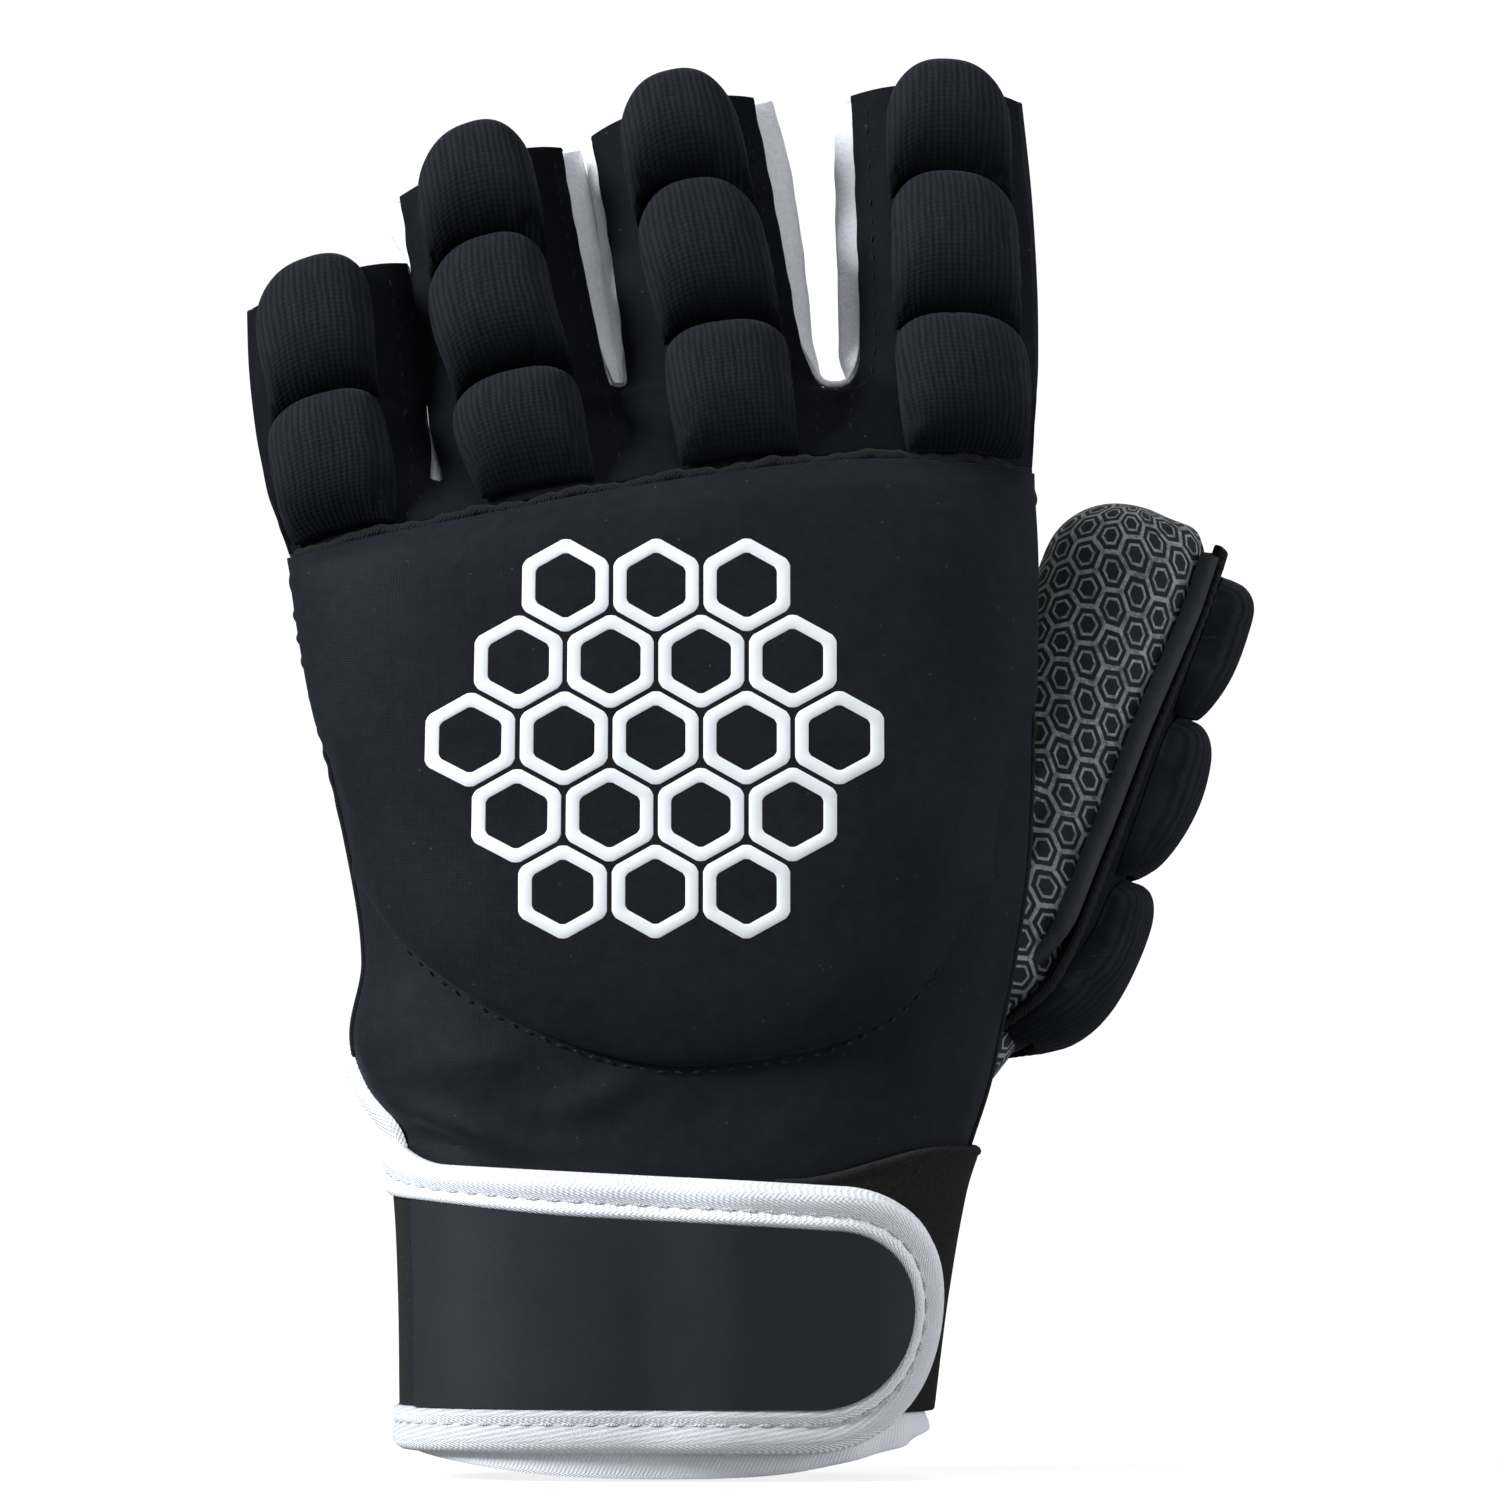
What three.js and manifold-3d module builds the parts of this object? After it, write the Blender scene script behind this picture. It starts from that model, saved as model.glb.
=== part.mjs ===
// A left-hand field hockey glove, modelled as it is worn: half fingers, foam blocks on the backs of
// the fingers and thumb, a padded shell over the back of the hand, a printed palm and thumb,
// white side walls between the fingers, and a wide wrist strap with white binding.
// Millimetres. +Z runs from the wrist to the fingertips, -Y is the back of the hand, +X the thumb side.
// The origin is the middle of the wrist opening, at the hem.
import * as THREE from "three";
import { mergeVertices } from "three/addons/utils/BufferGeometryUtils.js";
import Module from "manifold-3d";

const wasm = await Module();
wasm.setup();

// Driving dimensions.
const GAP = 0.3; // running gap between neighbouring pieces
const CLEAR = 0.45; // what a layer leaves to the curved face under it
const SHELL = 1.8; // laminated stretch fabric of the back, palm and thumb
const PALM_STEP = 0.15; // the fingers' palm sides stand this much over the palm
const SIDE_WALL = 1.1; // thin white fabric between the fingers
const SEAM_ANGLE = 88; // degrees from the middle of the back to each side seam
const SEAM_GAP = 1.2; // degrees left between the two panels at a side seam
const HEM_TOP = 6.2; // height of the white hem binding
const HEM_BOTTOM = { middle: -2.8, sides: 0.8 }; // its lower edge dips at the back and the palm
const HEM_THICK = 2.6;
const SECTION_POWER = 2.4; // superellipse exponent of the hand's cross-sections

// The hand inside the shell: silhouette to the left and right, and how far the back and palm
// faces stand from the mid-plane, for each height above the hem.
const BODY = [
  { z: -2, left: -37.4, right: 37.4, back: 24.0, palm: 24.0 },
  { z: 8, left: -37.6, right: 38.6, back: 24.0, palm: 24.0 },
  { z: 24, left: -37.8, right: 40.6, back: 24.0, palm: 24.0 },
  { z: 40, left: -38.6, right: 43.4, back: 23.6, palm: 24.4 },
  { z: 47, left: -40.0, right: 45.6, back: 23.2, palm: 25.4 },
  { z: 55, left: -44.8, right: 48.2, back: 22.6, palm: 26.6 },
  { z: 63, left: -46.8, right: 50.0, back: 22.0, palm: 27.0 },
  { z: 74, left: -45.0, right: 52.2, back: 21.0, palm: 26.4 },
  { z: 90, left: -47.2, right: 54.4, back: 19.6, palm: 24.0 },
  { z: 120, left: -54.0, right: 55.2, back: 17.2, palm: 19.0 },
  { z: 135, left: -56.0, right: 54.8, back: 16.2, palm: 16.8 },
  { z: 150, left: -57.6, right: 55.2, back: 15.2, palm: 15.2 },
];

// The knuckle seam, where the finger panel joins the back panel.
const KNUCKLE_SEAM = [
  { x: -58, z: 134.2 },
  { x: -45, z: 137.6 },
  { x: -31.5, z: 140.3 },
  { x: -4, z: 145.5 },
  { x: 25, z: 149.2 },
  { x: 42, z: 149.2 },
  { x: 56, z: 147.2 },
];

// The edges of each finger's back strip, from the knuckle seam (t = 0) to the open end (t = 1).
// bulgeL and bulgeR are how far the side walls swell past the strip's edges.
const FINGERS = {
  little: [
    { t: 0, xL: -56.2, zL: 134.6, xR: -31.5, zR: 140.3, bulgeL: 0.2, bulgeR: 0.0 },
    { t: 0.13, xL: -57.8, zL: 139.5, xR: -34.0, zR: 145.5, bulgeL: 0.5, bulgeR: 0.0 },
    { t: 0.5, xL: -60.8, zL: 153.4, xR: -36.6, zR: 160.0, bulgeL: 1.0, bulgeR: 0.0 },
    { t: 0.75, xL: -61.9, zL: 162.8, xR: -38.0, zR: 169.8, bulgeL: 1.0, bulgeR: 0.1 },
    { t: 1, xL: -62.3, zL: 172.0, xR: -39.4, zR: 179.0, bulgeL: 1.0, bulgeR: 0.1 },
  ],
  ring: [
    { t: 0, xL: -31.5, zL: 140.3, xR: -4.0, zR: 145.5, bulgeL: 0.0, bulgeR: 0.2 },
    { t: 0.11, xL: -34.0, zL: 145.5, xR: -5.1, zR: 151.0, bulgeL: 0.0, bulgeR: 0.2 },
    { t: 0.27, xL: -34.9, zL: 153.4, xR: -6.6, zR: 159.3, bulgeL: 0.1, bulgeR: 0.2 },
    { t: 0.5, xL: -36.0, zL: 164.5, xR: -9.6, zR: 171.0, bulgeL: 0.1, bulgeR: 0.4 },
    { t: 0.75, xL: -37.8, zL: 177.2, xR: -12.2, zR: 184.0, bulgeL: 0.2, bulgeR: 0.7 },
    { t: 1, xL: -39.8, zL: 189.0, xR: -14.7, zR: 196.5, bulgeL: 1.2, bulgeR: 1.1 },
  ],
  middle: [
    { t: 0, xL: -4.0, zL: 145.5, xR: 25.0, zR: 149.2, bulgeL: 0.2, bulgeR: 0.2 },
    { t: 0.2, xL: -5.7, zL: 155.4, xR: 24.6, zR: 159.3, bulgeL: 0.2, bulgeR: 0.3 },
    { t: 0.27, xL: -6.6, zL: 159.3, xR: 22.4, zR: 162.2, bulgeL: 0.2, bulgeR: 0.8 },
    { t: 0.5, xL: -8.0, zL: 171.6, xR: 19.8, zR: 175.4, bulgeL: 0.5, bulgeR: 1.9 },
    { t: 0.75, xL: -9.6, zL: 185.2, xR: 17.0, zR: 189.6, bulgeL: 0.8, bulgeR: 3.0 },
    { t: 1, xL: -11.3, zL: 198.2, xR: 13.7, zR: 203.7, bulgeL: 1.2, bulgeR: 2.2 },
  ],
  index: [
    { t: 0, xL: 25.0, zL: 149.2, xR: 55.0, zR: 147.3, bulgeL: 0.2, bulgeR: 0.2 },
    { t: 0.19, xL: 25.2, zL: 159.3, xR: 55.7, zR: 158.0, bulgeL: 0.3, bulgeR: 0.4 },
    { t: 0.25, xL: 27.4, zL: 161.9, xR: 55.7, zR: 161.4, bulgeL: 0.8, bulgeR: 0.6 },
    { t: 0.5, xL: 28.7, zL: 175.6, xR: 55.4, zR: 174.8, bulgeL: 2.4, bulgeR: 0.9 },
    { t: 0.75, xL: 28.6, zL: 190.0, xR: 54.6, zR: 189.2, bulgeL: 2.6, bulgeR: 0.9 },
    { t: 1, xL: 27.8, zL: 204.2, xR: 53.2, zR: 203.4, bulgeL: 1.6, bulgeR: 0.9 },
  ],
};
const NAMES = ["little", "ring", "middle", "index"];
const CROTCH_T = {
  little: { left: 0, right: 0.13 },
  ring: { left: 0.11, right: 0.27 },
  middle: { left: 0.27, right: 0.2 },
  index: { left: 0.19, right: 0 },
};

// The relaxed fingers lean away from the back of the hand, more towards their ends.
const FLEX = { start: 5, end: 25, length: 58, web: 13 }; // degrees, degrees, mm, mm
const FINGER_CORNER = 5.4; // from a finger's mid-plane to its seams
const FINGER_ARCH = 5.0; // rise of the strip, and of the palm side, over its seams
const MIN_DEPTH = 2.8; // least depth of the outer seams where the fingers leave the hand
const STRIP_TUCK = SHELL + GAP; // how far a side wall's edge lies behind the strip's face

// Foam blocks, from the knuckle to the tip: t range and u range across the strip.
const FINGER_PADS = {
  little: { rise: 7.2, uFrom: 0.07, uTo: 0.8, steps: [0.04, 0.52, 1.06] },
  ring: { rise: 8.0, uFrom: 0.12, uTo: 0.86, steps: [0.03, 0.37, 0.71, 1.07] },
  middle: { rise: 8.2, uFrom: 0.12, uTo: 0.84, steps: [0.03, 0.36, 0.7, 1.06] },
  index: { rise: 8.2, uFrom: 0.16, uTo: 0.93, steps: [0.03, 0.37, 0.7, 1.05] },
};
const PAD_SEAT = 0.55; // from a strip's face to the underside of its blocks
const PAD_SEAT_LOW = 0.8; // the same over the lowest block, where the strip curves most
const PAD_RIM = 0.8; // thickness of a block at its edge
const PAD_ROUND = 4.2; // superellipse exponent of a block's outline
const PAD_CROWN = 2.6; // and of its profile

// The padded shell on the back of the hand: its lower edge, and its sides above that.
const BACK_PAD_EDGE = [
  { u: -1, x: -45.6, z: 87 },
  { u: -0.78, x: -36.2, z: 74.5 },
  { u: -0.45, x: -21.5, z: 65.2 },
  { u: -0.05, x: -2.5, z: 59.0 },
  { u: 0.32, x: 15, z: 59.8 },
  { u: 0.6, x: 28, z: 63.2 },
  { u: 0.8, x: 38, z: 70.2 },
  { u: 1, x: 48.4, z: 87 },
];
const BACK_PAD_SIDES = [
  { v: 0, left: -45.6, right: 48.4 },
  { v: 0.3, left: -48.8, right: 53.4 },
  { v: 0.6, left: -52.2, right: 54.4 },
  { v: 1, left: -55.4, right: 54.2 },
];
const BACK_PAD = { rise: 6.8, rim: 0.9, round: 5 };

// The thumb: centre line, half-thickness from nail side to pulp and half-width across it,
// and how far its back is turned towards the back of the hand.
const THUMB = [
  { v: 0, x: 35, y: 7, z: 57, thick: 13.6, wide: 14.6, turn: 24 },
  { v: 0.25, x: 48.6, y: 12, z: 75.5, thick: 13.4, wide: 14.0, turn: 12 },
  { v: 0.5, x: 56.6, y: 16, z: 94.8, thick: 12.8, wide: 13.2, turn: -6 },
  { v: 0.75, x: 62.6, y: 19, z: 113.2, thick: 12.4, wide: 12.8, turn: -20 },
  { v: 1, x: 68.3, y: 21, z: 130.4, thick: 12.2, wide: 12.6, turn: -31 },
];
const THUMB_TIP = 12.6; // length of the rounded end past the centre line
const THUMB_STRIP = { half: 56, from: 0.1, to: 1.2, thick: 1.6 }; // half-angle in degrees, v range
const THUMB_PIPING = { from: -66, to: -58.4, thick: 2.6 }; // angles in degrees
const THUMB_PADS = { half: 47, rise: 7.2, steps: [0.13, 0.47, 0.81, 1.17] };

// The strap, unrolled round the wrist: s is measured along it from the middle of the back.
const STRAP = { start: -104, end: 43, bottom: 1.0, top: 43.4, corner: 20.5, thick: 1.8 };
const STRAP_SLOPE = -0.045; // the strap's top edge falls towards its round end
const STRAP_LIFT = { left: 0.45, right: 2.5, from: -6, to: 11 }; // the strap climbs onto the loop tab
const BINDING = { width: 4.3, thick: 3.0 };
const PATCH = { start: -42, inset: 5.6, thick: 0.7 };
const LOOP_TAB = { from: 14, to: 88, bottom: 5.2, top: 43.8, thick: 1.5 };
const SLIT = [
  { s: -48.6, z: 46.6 },
  { s: -50.4, z: 51 },
  { s: -52.4, z: 56 },
  { s: -55.2, z: 62 },
];
const SLIT_WIDTH = 4.4;
const SLIT_THICK = 1.4;

// Facets: steps across and along each kind of piece.
const FACETS = {
  strip: [6, 8],
  palmStrip: [5, 6],
  side: [2, 6],
  pad: [6, 5],
  backPad: [14, 7],
  thumb: 18,
  thumbStrip: [6, 8],
};
const BODY_STEP = 10; // degrees between the columns of the hand's facets
const BODY_TOP_ROW = 120; // the last row of facets below the knuckle seam

const FABRIC = { color: 0x16171a, roughness: 0.85, metalness: 0 };
const KNIT = { color: 0x121316, roughness: 0.9, metalness: 0 };
const PRINTED = { color: 0x24272a, roughness: 0.7, metalness: 0 };
const WHITE = { color: 0xe4e7ec, roughness: 0.85, metalness: 0 };
const RUBBER = { color: 0x23262b, roughness: 0.5, metalness: 0 };
const LOOP = { color: 0x141412, roughness: 1, metalness: 0 };

const glove = new THREE.Group();
const radians = THREE.MathUtils.degToRad;
const mix = THREE.MathUtils.lerp;
const smooth = (from, to, value) => THREE.MathUtils.smoothstep(value, from, to);

function add(name, geometry, finish) {
  const mesh = new THREE.Mesh(geometry, new THREE.MeshStandardMaterial(finish));
  mesh.name = name;
  glove.add(mesh);
}

// A smooth curve through one column of a table, straight on past its ends.
function lookUp(table, key, column, at) {
  const last = table.length - 1;
  const slope = (i, j) => (table[j][column] - table[i][column]) / (table[j][key] - table[i][key]);
  if (at <= table[0][key]) return table[0][column] + slope(0, 1) * (at - table[0][key]);
  if (at >= table[last][key]) {
    return table[last][column] + slope(last - 1, last) * (at - table[last][key]);
  }
  const i = table.findIndex((row, k) => k < last && at <= table[k + 1][key]);
  const width = table[i + 1][key] - table[i][key];
  const from = slope(Math.max(i - 1, 0), i + 1) * width;
  const to = slope(i, Math.min(i + 2, last)) * width;
  const w = (at - table[i][key]) / width;
  return (
    table[i][column] * (1 + 2 * w) * (1 - w) ** 2 +
    from * w * (1 - w) ** 2 +
    table[i + 1][column] * w * w * (3 - 2 * w) -
    to * w * w * (1 - w)
  );
}

// Normal of a surface whose u and v run so that their cross product points out.
function normalAt(face, u, v) {
  const step = 1e-3;
  const across = face(u + step, v).sub(face(u - step, v));
  const along = face(u, v + step).sub(face(u, v - step));
  return across.cross(along).normalize();
}

function geometryOf(points, triangles) {
  const flat = new Float32Array(points.flatMap((p) => [p.x, p.y, p.z]));
  return new THREE.BufferGeometry()
    .setAttribute("position", new THREE.BufferAttribute(flat, 3))
    .setIndex(triangles);
}

// Closes two grids of points, the outer one first, into one sheet with a rim all round.
function closeSheet(points, columns, rows) {
  const inside = columns * rows;
  const triangles = [];
  const quad = (a, b, c, d) => triangles.push(a, b, c, a, c, d);
  for (let j = 0; j < rows - 1; j++) {
    for (let i = 0; i < columns - 1; i++) {
      const a = j * columns + i;
      quad(a, a + 1, a + columns + 1, a + columns);
      quad(inside + a + columns, inside + a + columns + 1, inside + a + 1, inside + a);
    }
  }
  for (let i = 0; i < columns - 1; i++) {
    const top = (rows - 1) * columns + i;
    quad(i + 1, i, inside + i, inside + i + 1);
    quad(top, top + 1, inside + top + 1, inside + top);
  }
  for (let j = 0; j < rows - 1; j++) {
    const left = j * columns;
    const right = left + columns - 1;
    quad(left, left + columns, inside + left + columns, inside + left);
    quad(right + columns, right, inside + right, inside + right + columns);
  }
  return geometryOf(points, triangles);
}

// A closed wall between two offsets of a surface over u and v from 0 to 1.
function wall(face, across, along, low, high) {
  const heightAt = (offset, u, v) => (typeof offset === "function" ? offset(u, v) : offset);
  const points = [];
  for (const offset of [high, low]) {
    for (let j = 0; j <= along; j++) {
      for (let i = 0; i <= across; i++) {
        const [u, v] = [i / across, j / along];
        points.push(face(u, v).addScaledVector(normalAt(face, u, v), heightAt(offset, u, v)));
      }
    }
  }
  return closeSheet(points, across + 1, along + 1);
}

// A closed solid through rings of points, with a flat cap on the first and last.
function loft(rings) {
  const count = rings[0].length;
  const points = rings.flat();
  const triangles = [];
  for (let j = 0; j < rings.length - 1; j++) {
    for (let i = 0; i < count; i++) {
      const a = j * count + i;
      const b = j * count + ((i + 1) % count);
      triangles.push(a, b, b + count, a, b + count, a + count);
    }
  }
  for (const j of [0, rings.length - 1]) {
    const middle = new THREE.Vector3();
    rings[j].forEach((p) => middle.addScaledVector(p, 1 / count));
    points.push(middle);
    for (let i = 0; i < count; i++) {
      const a = j * count + i;
      const b = j * count + ((i + 1) % count);
      if (j === 0) triangles.push(points.length - 1, b, a);
      else triangles.push(points.length - 1, a, b);
    }
  }
  return geometryOf(points, triangles);
}

function solidOf(geometry) {
  const bare = geometry.clone();
  bare.deleteAttribute("normal");
  bare.deleteAttribute("uv");
  const merged = mergeVertices(bare, 1e-4);
  return new wasm.Manifold(
    new wasm.Mesh({
      numProp: 3,
      vertProperties: merged.attributes.position.array,
      triVerts: new Uint32Array(merged.index.array),
    }),
  );
}

function geometryFrom(solid) {
  const mesh = solid.getMesh();
  return new THREE.BufferGeometry()
    .setAttribute("position", new THREE.BufferAttribute(mesh.vertProperties, 3))
    .setIndex(new THREE.BufferAttribute(mesh.triVerts, 1));
}

const cutBy = (geometry, solid) => geometryFrom(solidOf(geometry).subtract(solid));

const joined = (geometries) =>
  geometries.map(solidOf).reduce((whole, piece) => whole.add(piece));

// Body: a point on the hand's outside. Angle 0 is the back, 90 the thumb side, 180 the palm.
function bodyPoint(degrees, z, offset = 0) {
  const left = lookUp(BODY, "z", "left", z);
  const right = lookUp(BODY, "z", "right", z);
  const s = Math.sin(radians(degrees));
  const c = Math.cos(radians(degrees));
  const round = (value) => Math.sign(value) * Math.abs(value) ** (2 / SECTION_POWER);
  const deep = lookUp(BODY, "z", c >= 0 ? "back" : "palm", z) + offset;
  const x = (left + right) / 2 + ((right - left) / 2 + offset) * round(s);
  return new THREE.Vector3(x, -deep * round(c), z);
}

// How far the back or palm face stands from the mid-plane at x and z.
function bodyDepth(side, x, z) {
  const left = lookUp(BODY, "z", "left", z);
  const right = lookUp(BODY, "z", "right", z);
  const share = Math.min(1, Math.abs((2 * x - left - right) / (right - left)));
  return lookUp(BODY, "z", side, z) * (1 - share ** SECTION_POWER) ** (1 / SECTION_POWER);
}

const seamHeight = (x) => lookUp(KNUCKLE_SEAM, "x", "z", x);

// Fingers: lean and depth of the mid-plane at a height above the knuckle seam.
const leanAt = (height) =>
  radians(mix(FLEX.start, FLEX.end, Math.max(0, height) / FLEX.length));

function midPlane(height) {
  const start = Math.tan(radians(FLEX.start));
  const end = Math.tan(radians(FLEX.end));
  return start * height + ((end - start) * height ** 2) / (2 * FLEX.length);
}

// The back strip (side -1) or the palm side (side 1) of a finger at w from its left edge to its
// right, t up its length. It leaves the hand's own curve at the knuckle seam.
function fingerPoint(name, w, side, t) {
  const edge = (column) =>
    mix(lookUp(FINGERS[name], "t", column + "L", t), lookUp(FINGERS[name], "t", column + "R", t), w);
  const [x, z] = [edge("x"), edge("z")];
  const height = z - seamHeight(x);
  const free = smooth(0, FLEX.web, height);
  const rise = free * FINGER_ARCH * (1 - Math.abs(2 * w - 1) ** 2.4);
  const lean = leanAt(height);
  const flat = side * Math.max(MIN_DEPTH, bodyDepth(side < 0 ? "back" : "palm", x, z));
  const open = midPlane(height) + side * (FINGER_CORNER + Math.cos(lean) * rise);
  return new THREE.Vector3(x, mix(flat, open, free), z - side * Math.sin(lean) * rise);
}

const fingerCorner = (name, edge, side, t) => fingerPoint(name, edge === "L" ? 0 : 1, side, t);

// The same as a face with its front outside; u crosses it and v runs up it.
const fingerFace = (name, side) => (u, v) => fingerPoint(name, side < 0 ? u : 1 - u, side, v);

// One side wall of a finger, from its back seam to its palm seam, at t; outward is -1 or 1 in x.
function sidePoint(name, edge, t, share, tangent) {
  const back = fingerCorner(name, edge, -1, t);
  const palm = fingerCorner(name, edge, 1, t);
  const bulge = lookUp(FINGERS[name], "t", "bulge" + edge, t);
  const out = new THREE.Vector3(tangent.z, 0, -tangent.x).multiplyScalar(edge === "R" ? 1 : -1);
  const inset = edge === "R" ? -0.35 : 0.35;
  back.x += inset;
  palm.x += inset;
  return back.lerp(palm, share).addScaledVector(out, bulge * Math.sin(Math.PI * share));
}

function edgeTangent(name, edge, t) {
  const step = 0.02;
  const low = fingerCorner(name, edge, -1, t - step);
  const tangent = fingerCorner(name, edge, -1, t + step).sub(low);
  tangent.y = 0;
  return tangent.normalize();
}

// The white wall between two fingers: down one, round the crotch and up the next.
function gapFace(leftFinger, rightFinger) {
  const leftCrotch = CROTCH_T[leftFinger].right;
  const rightCrotch = CROTCH_T[rightFinger].left;
  return (u, v) => {
    const tuck = STRIP_TUCK / (2 * FINGER_CORNER);
    const share = mix(1 - tuck, tuck, u);
    const down = v < 0.5;
    const name = down ? leftFinger : rightFinger;
    const edge = down ? "R" : "L";
    const crotch = down ? leftCrotch : rightCrotch;
    const t = mix(crotch, 0.985, Math.abs(2 * v - 1));
    return sidePoint(name, edge, t, share, edgeTangent(name, edge, Math.max(t, crotch + 0.03)));
  };
}

// Finger panel: four strips in one piece of fabric, joined below the crotches.
function stripWall(name) {
  const face = fingerFace(name, -1);
  const start = 0.022;
  const lap = (v, crotch) => (v < crotch ? 0.008 : 0);
  const { left, right } = CROTCH_T[name];
  return wall(
    (u, v) => {
      const t = mix(start, 1, v);
      return face(mix(-lap(t, left), 1 + lap(t, right), u), t);
    },
    ...FACETS.strip,
    -SHELL,
    0,
  );
}

add("finger_panel", geometryFrom(joined(NAMES.map(stripWall))), FABRIC);

// Foam blocks on the fingers.
function crown(u, v) {
  const edge = (Math.abs(2 * u - 1) ** PAD_ROUND + Math.abs(2 * v - 1) ** PAD_ROUND) ** (1 / PAD_ROUND);
  return Math.max(0, 1 - Math.min(1, edge) ** PAD_CROWN) ** (1 / PAD_CROWN);
}

// A square of u and v squeezed into a superellipse, so that a block has round corners.
function roundCorners(u, v) {
  const a = 2 * u - 1;
  const b = 2 * v - 1;
  const square = Math.max(Math.abs(a), Math.abs(b));
  const round = (Math.abs(a) ** PAD_ROUND + Math.abs(b) ** PAD_ROUND) ** (1 / PAD_ROUND);
  const scale = round > 0 ? square / round : 1;
  return [(1 + a * scale) / 2, (1 + b * scale) / 2];
}

for (const name of NAMES) {
  const { rise, uFrom, uTo, steps } = FINGER_PADS[name];
  const face = fingerFace(name, -1);
  for (let k = 0; k < steps.length - 1; k++) {
    const block = (u, v) => {
      const [a, b] = roundCorners(u, v);
      return face(mix(uFrom, uTo, a), mix(steps[k] + 0.004, steps[k + 1] - 0.004, b));
    };
    const seat = k === 0 ? PAD_SEAT_LOW : PAD_SEAT;
    const top = (u, v) => seat + PAD_RIM + (rise - PAD_RIM) * crown(...roundCorners(u, v));
    add(`${name}_pad_${k + 1}`, wall(block, ...FACETS.pad, seat, top), KNIT);
  }
}

// White walls between the fingers.
for (let k = 0; k < NAMES.length - 1; k++) {
  const [a, b] = [NAMES[k], NAMES[k + 1]];
  add(
    `side_wall_${a}_${b}`,
    wall(gapFace(a, b), FACETS.side[0] + 1, 2 * FACETS.side[1], -SIDE_WALL, 0),
    WHITE,
  );
}

// The hand's facets keep to the same columns and rows, so that layers laid on them stay clear.
const bodyColumns = Array.from({ length: 360 / BODY_STEP + 1 }, (_, i) => i * BODY_STEP - 180);
const bodyRows = BODY.map(({ z }) => z).filter((z) => z > HEM_TOP + GAP && z <= BODY_TOP_ROW);

// One of the two panels of the hand, from the hem binding to the knuckle seam.
function bodyWall(fromDegrees, toDegrees) {
  const turned = [...bodyColumns, ...bodyColumns.slice(1).map((degrees) => degrees + 360)];
  const inside = turned.filter((degrees) => degrees > fromDegrees && degrees < toDegrees);
  const angles = [fromDegrees, ...inside, toDegrees];
  const rows = [HEM_TOP + GAP, ...bodyRows, NaN];
  const pick = (list, share) => {
    const at = share * (list.length - 1);
    const i = THREE.MathUtils.clamp(Math.floor(at), 0, list.length - 2);
    return mix(list[i], list[i + 1], at - i);
  };
  const face = (u, v) => {
    const degrees = pick(angles, u);
    rows[rows.length - 1] = seamHeight(bodyPoint(degrees, 142).x) - GAP;
    return bodyPoint(degrees, pick(rows, v));
  };
  return wall(face, angles.length - 1, rows.length - 1, -SHELL, 0);
}

add("back_panel", bodyWall(-SEAM_ANGLE, SEAM_ANGLE), FABRIC);

// A closed solid of the hand through the given heights, grown by an offset.
const bodySolid = (offset, heights) =>
  solidOf(
    loft(heights.map((z) => bodyColumns.slice(1).map((degrees) => bodyPoint(degrees, z, offset)))),
  );

// Thumb: frame of the centre line, past its ends too.
function thumbFrame(v) {
  const at = (w) =>
    new THREE.Vector3(...["x", "y", "z"].map((column) => lookUp(THUMB, "v", column, w)));
  const axis = at(v + 0.01).sub(at(v - 0.01)).normalize();
  const towardThumbSide = new THREE.Vector3(axis.z, 0, -axis.x).normalize();
  const turn = radians(lookUp(THUMB, "v", "turn", v));
  const nail = towardThumbSide.applyAxisAngle(axis, -turn).normalize();
  const side = new THREE.Vector3().crossVectors(axis, nail).normalize();
  return { centre: at(v), axis, nail, side };
}

// A point on the thumb: angle 0 is the nail side. Past v = 1 the thumb closes in a round end.
function thumbPoint(degrees, v, offset = 0) {
  const inTip = Math.max(0, v - 1);
  const { centre, axis, nail, side } = thumbFrame(Math.min(v, 1));
  const thick = lookUp(THUMB, "v", "thick", Math.min(v, 1)) + offset;
  const wide = lookUp(THUMB, "v", "wide", Math.min(v, 1)) + offset;
  const close = Math.min(1, inTip / 0.3);
  const shrink = Math.sqrt(Math.max(0, 1 - close ** 2.2));
  return centre
    .addScaledVector(axis, (THUMB_TIP + offset) * close)
    .addScaledVector(nail, Math.cos(radians(degrees)) * thick * shrink)
    .addScaledVector(side, Math.sin(radians(degrees)) * wide * shrink);
}

function thumbSolid(offset) {
  const stops = [0, 0.2, 0.4, 0.6, 0.8, 1, 1.12, 1.21, 1.27, 1.295];
  const count = FACETS.thumb;
  return solidOf(
    loft(
      stops.map((v) =>
        Array.from({ length: count }, (_, i) => thumbPoint((i * 360) / count, v, offset)),
      ),
    ),
  );
}

const handSpace = bodySolid(CLEAR, [HEM_BOTTOM.middle - 1, HEM_TOP + GAP, ...bodyRows, 135, 150]);
const thumbHollow = thumbSolid(-SHELL);
add(
  "thumb_sleeve",
  geometryFrom(thumbSolid(0).subtract(thumbHollow).subtract(handSpace)),
  PRINTED,
);

// A layer on the hand, cut clear of the hand's outside.
const resting = (geometry) => cutBy(geometry, handSpace);

// The strip over the thumb's back runs straight on past the thumb's end as a short tab.
function thumbStripPoint(degrees, v) {
  const flat = Math.min(v, 1);
  const past = (v - flat) * 42;
  const point = thumbPoint(degrees, flat);
  return point.addScaledVector(thumbFrame(1).axis, past);
}

function thumbStripFace(half, from, to) {
  return (u, v) => thumbStripPoint(mix(-half, half, u), mix(from, to, v));
}

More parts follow.
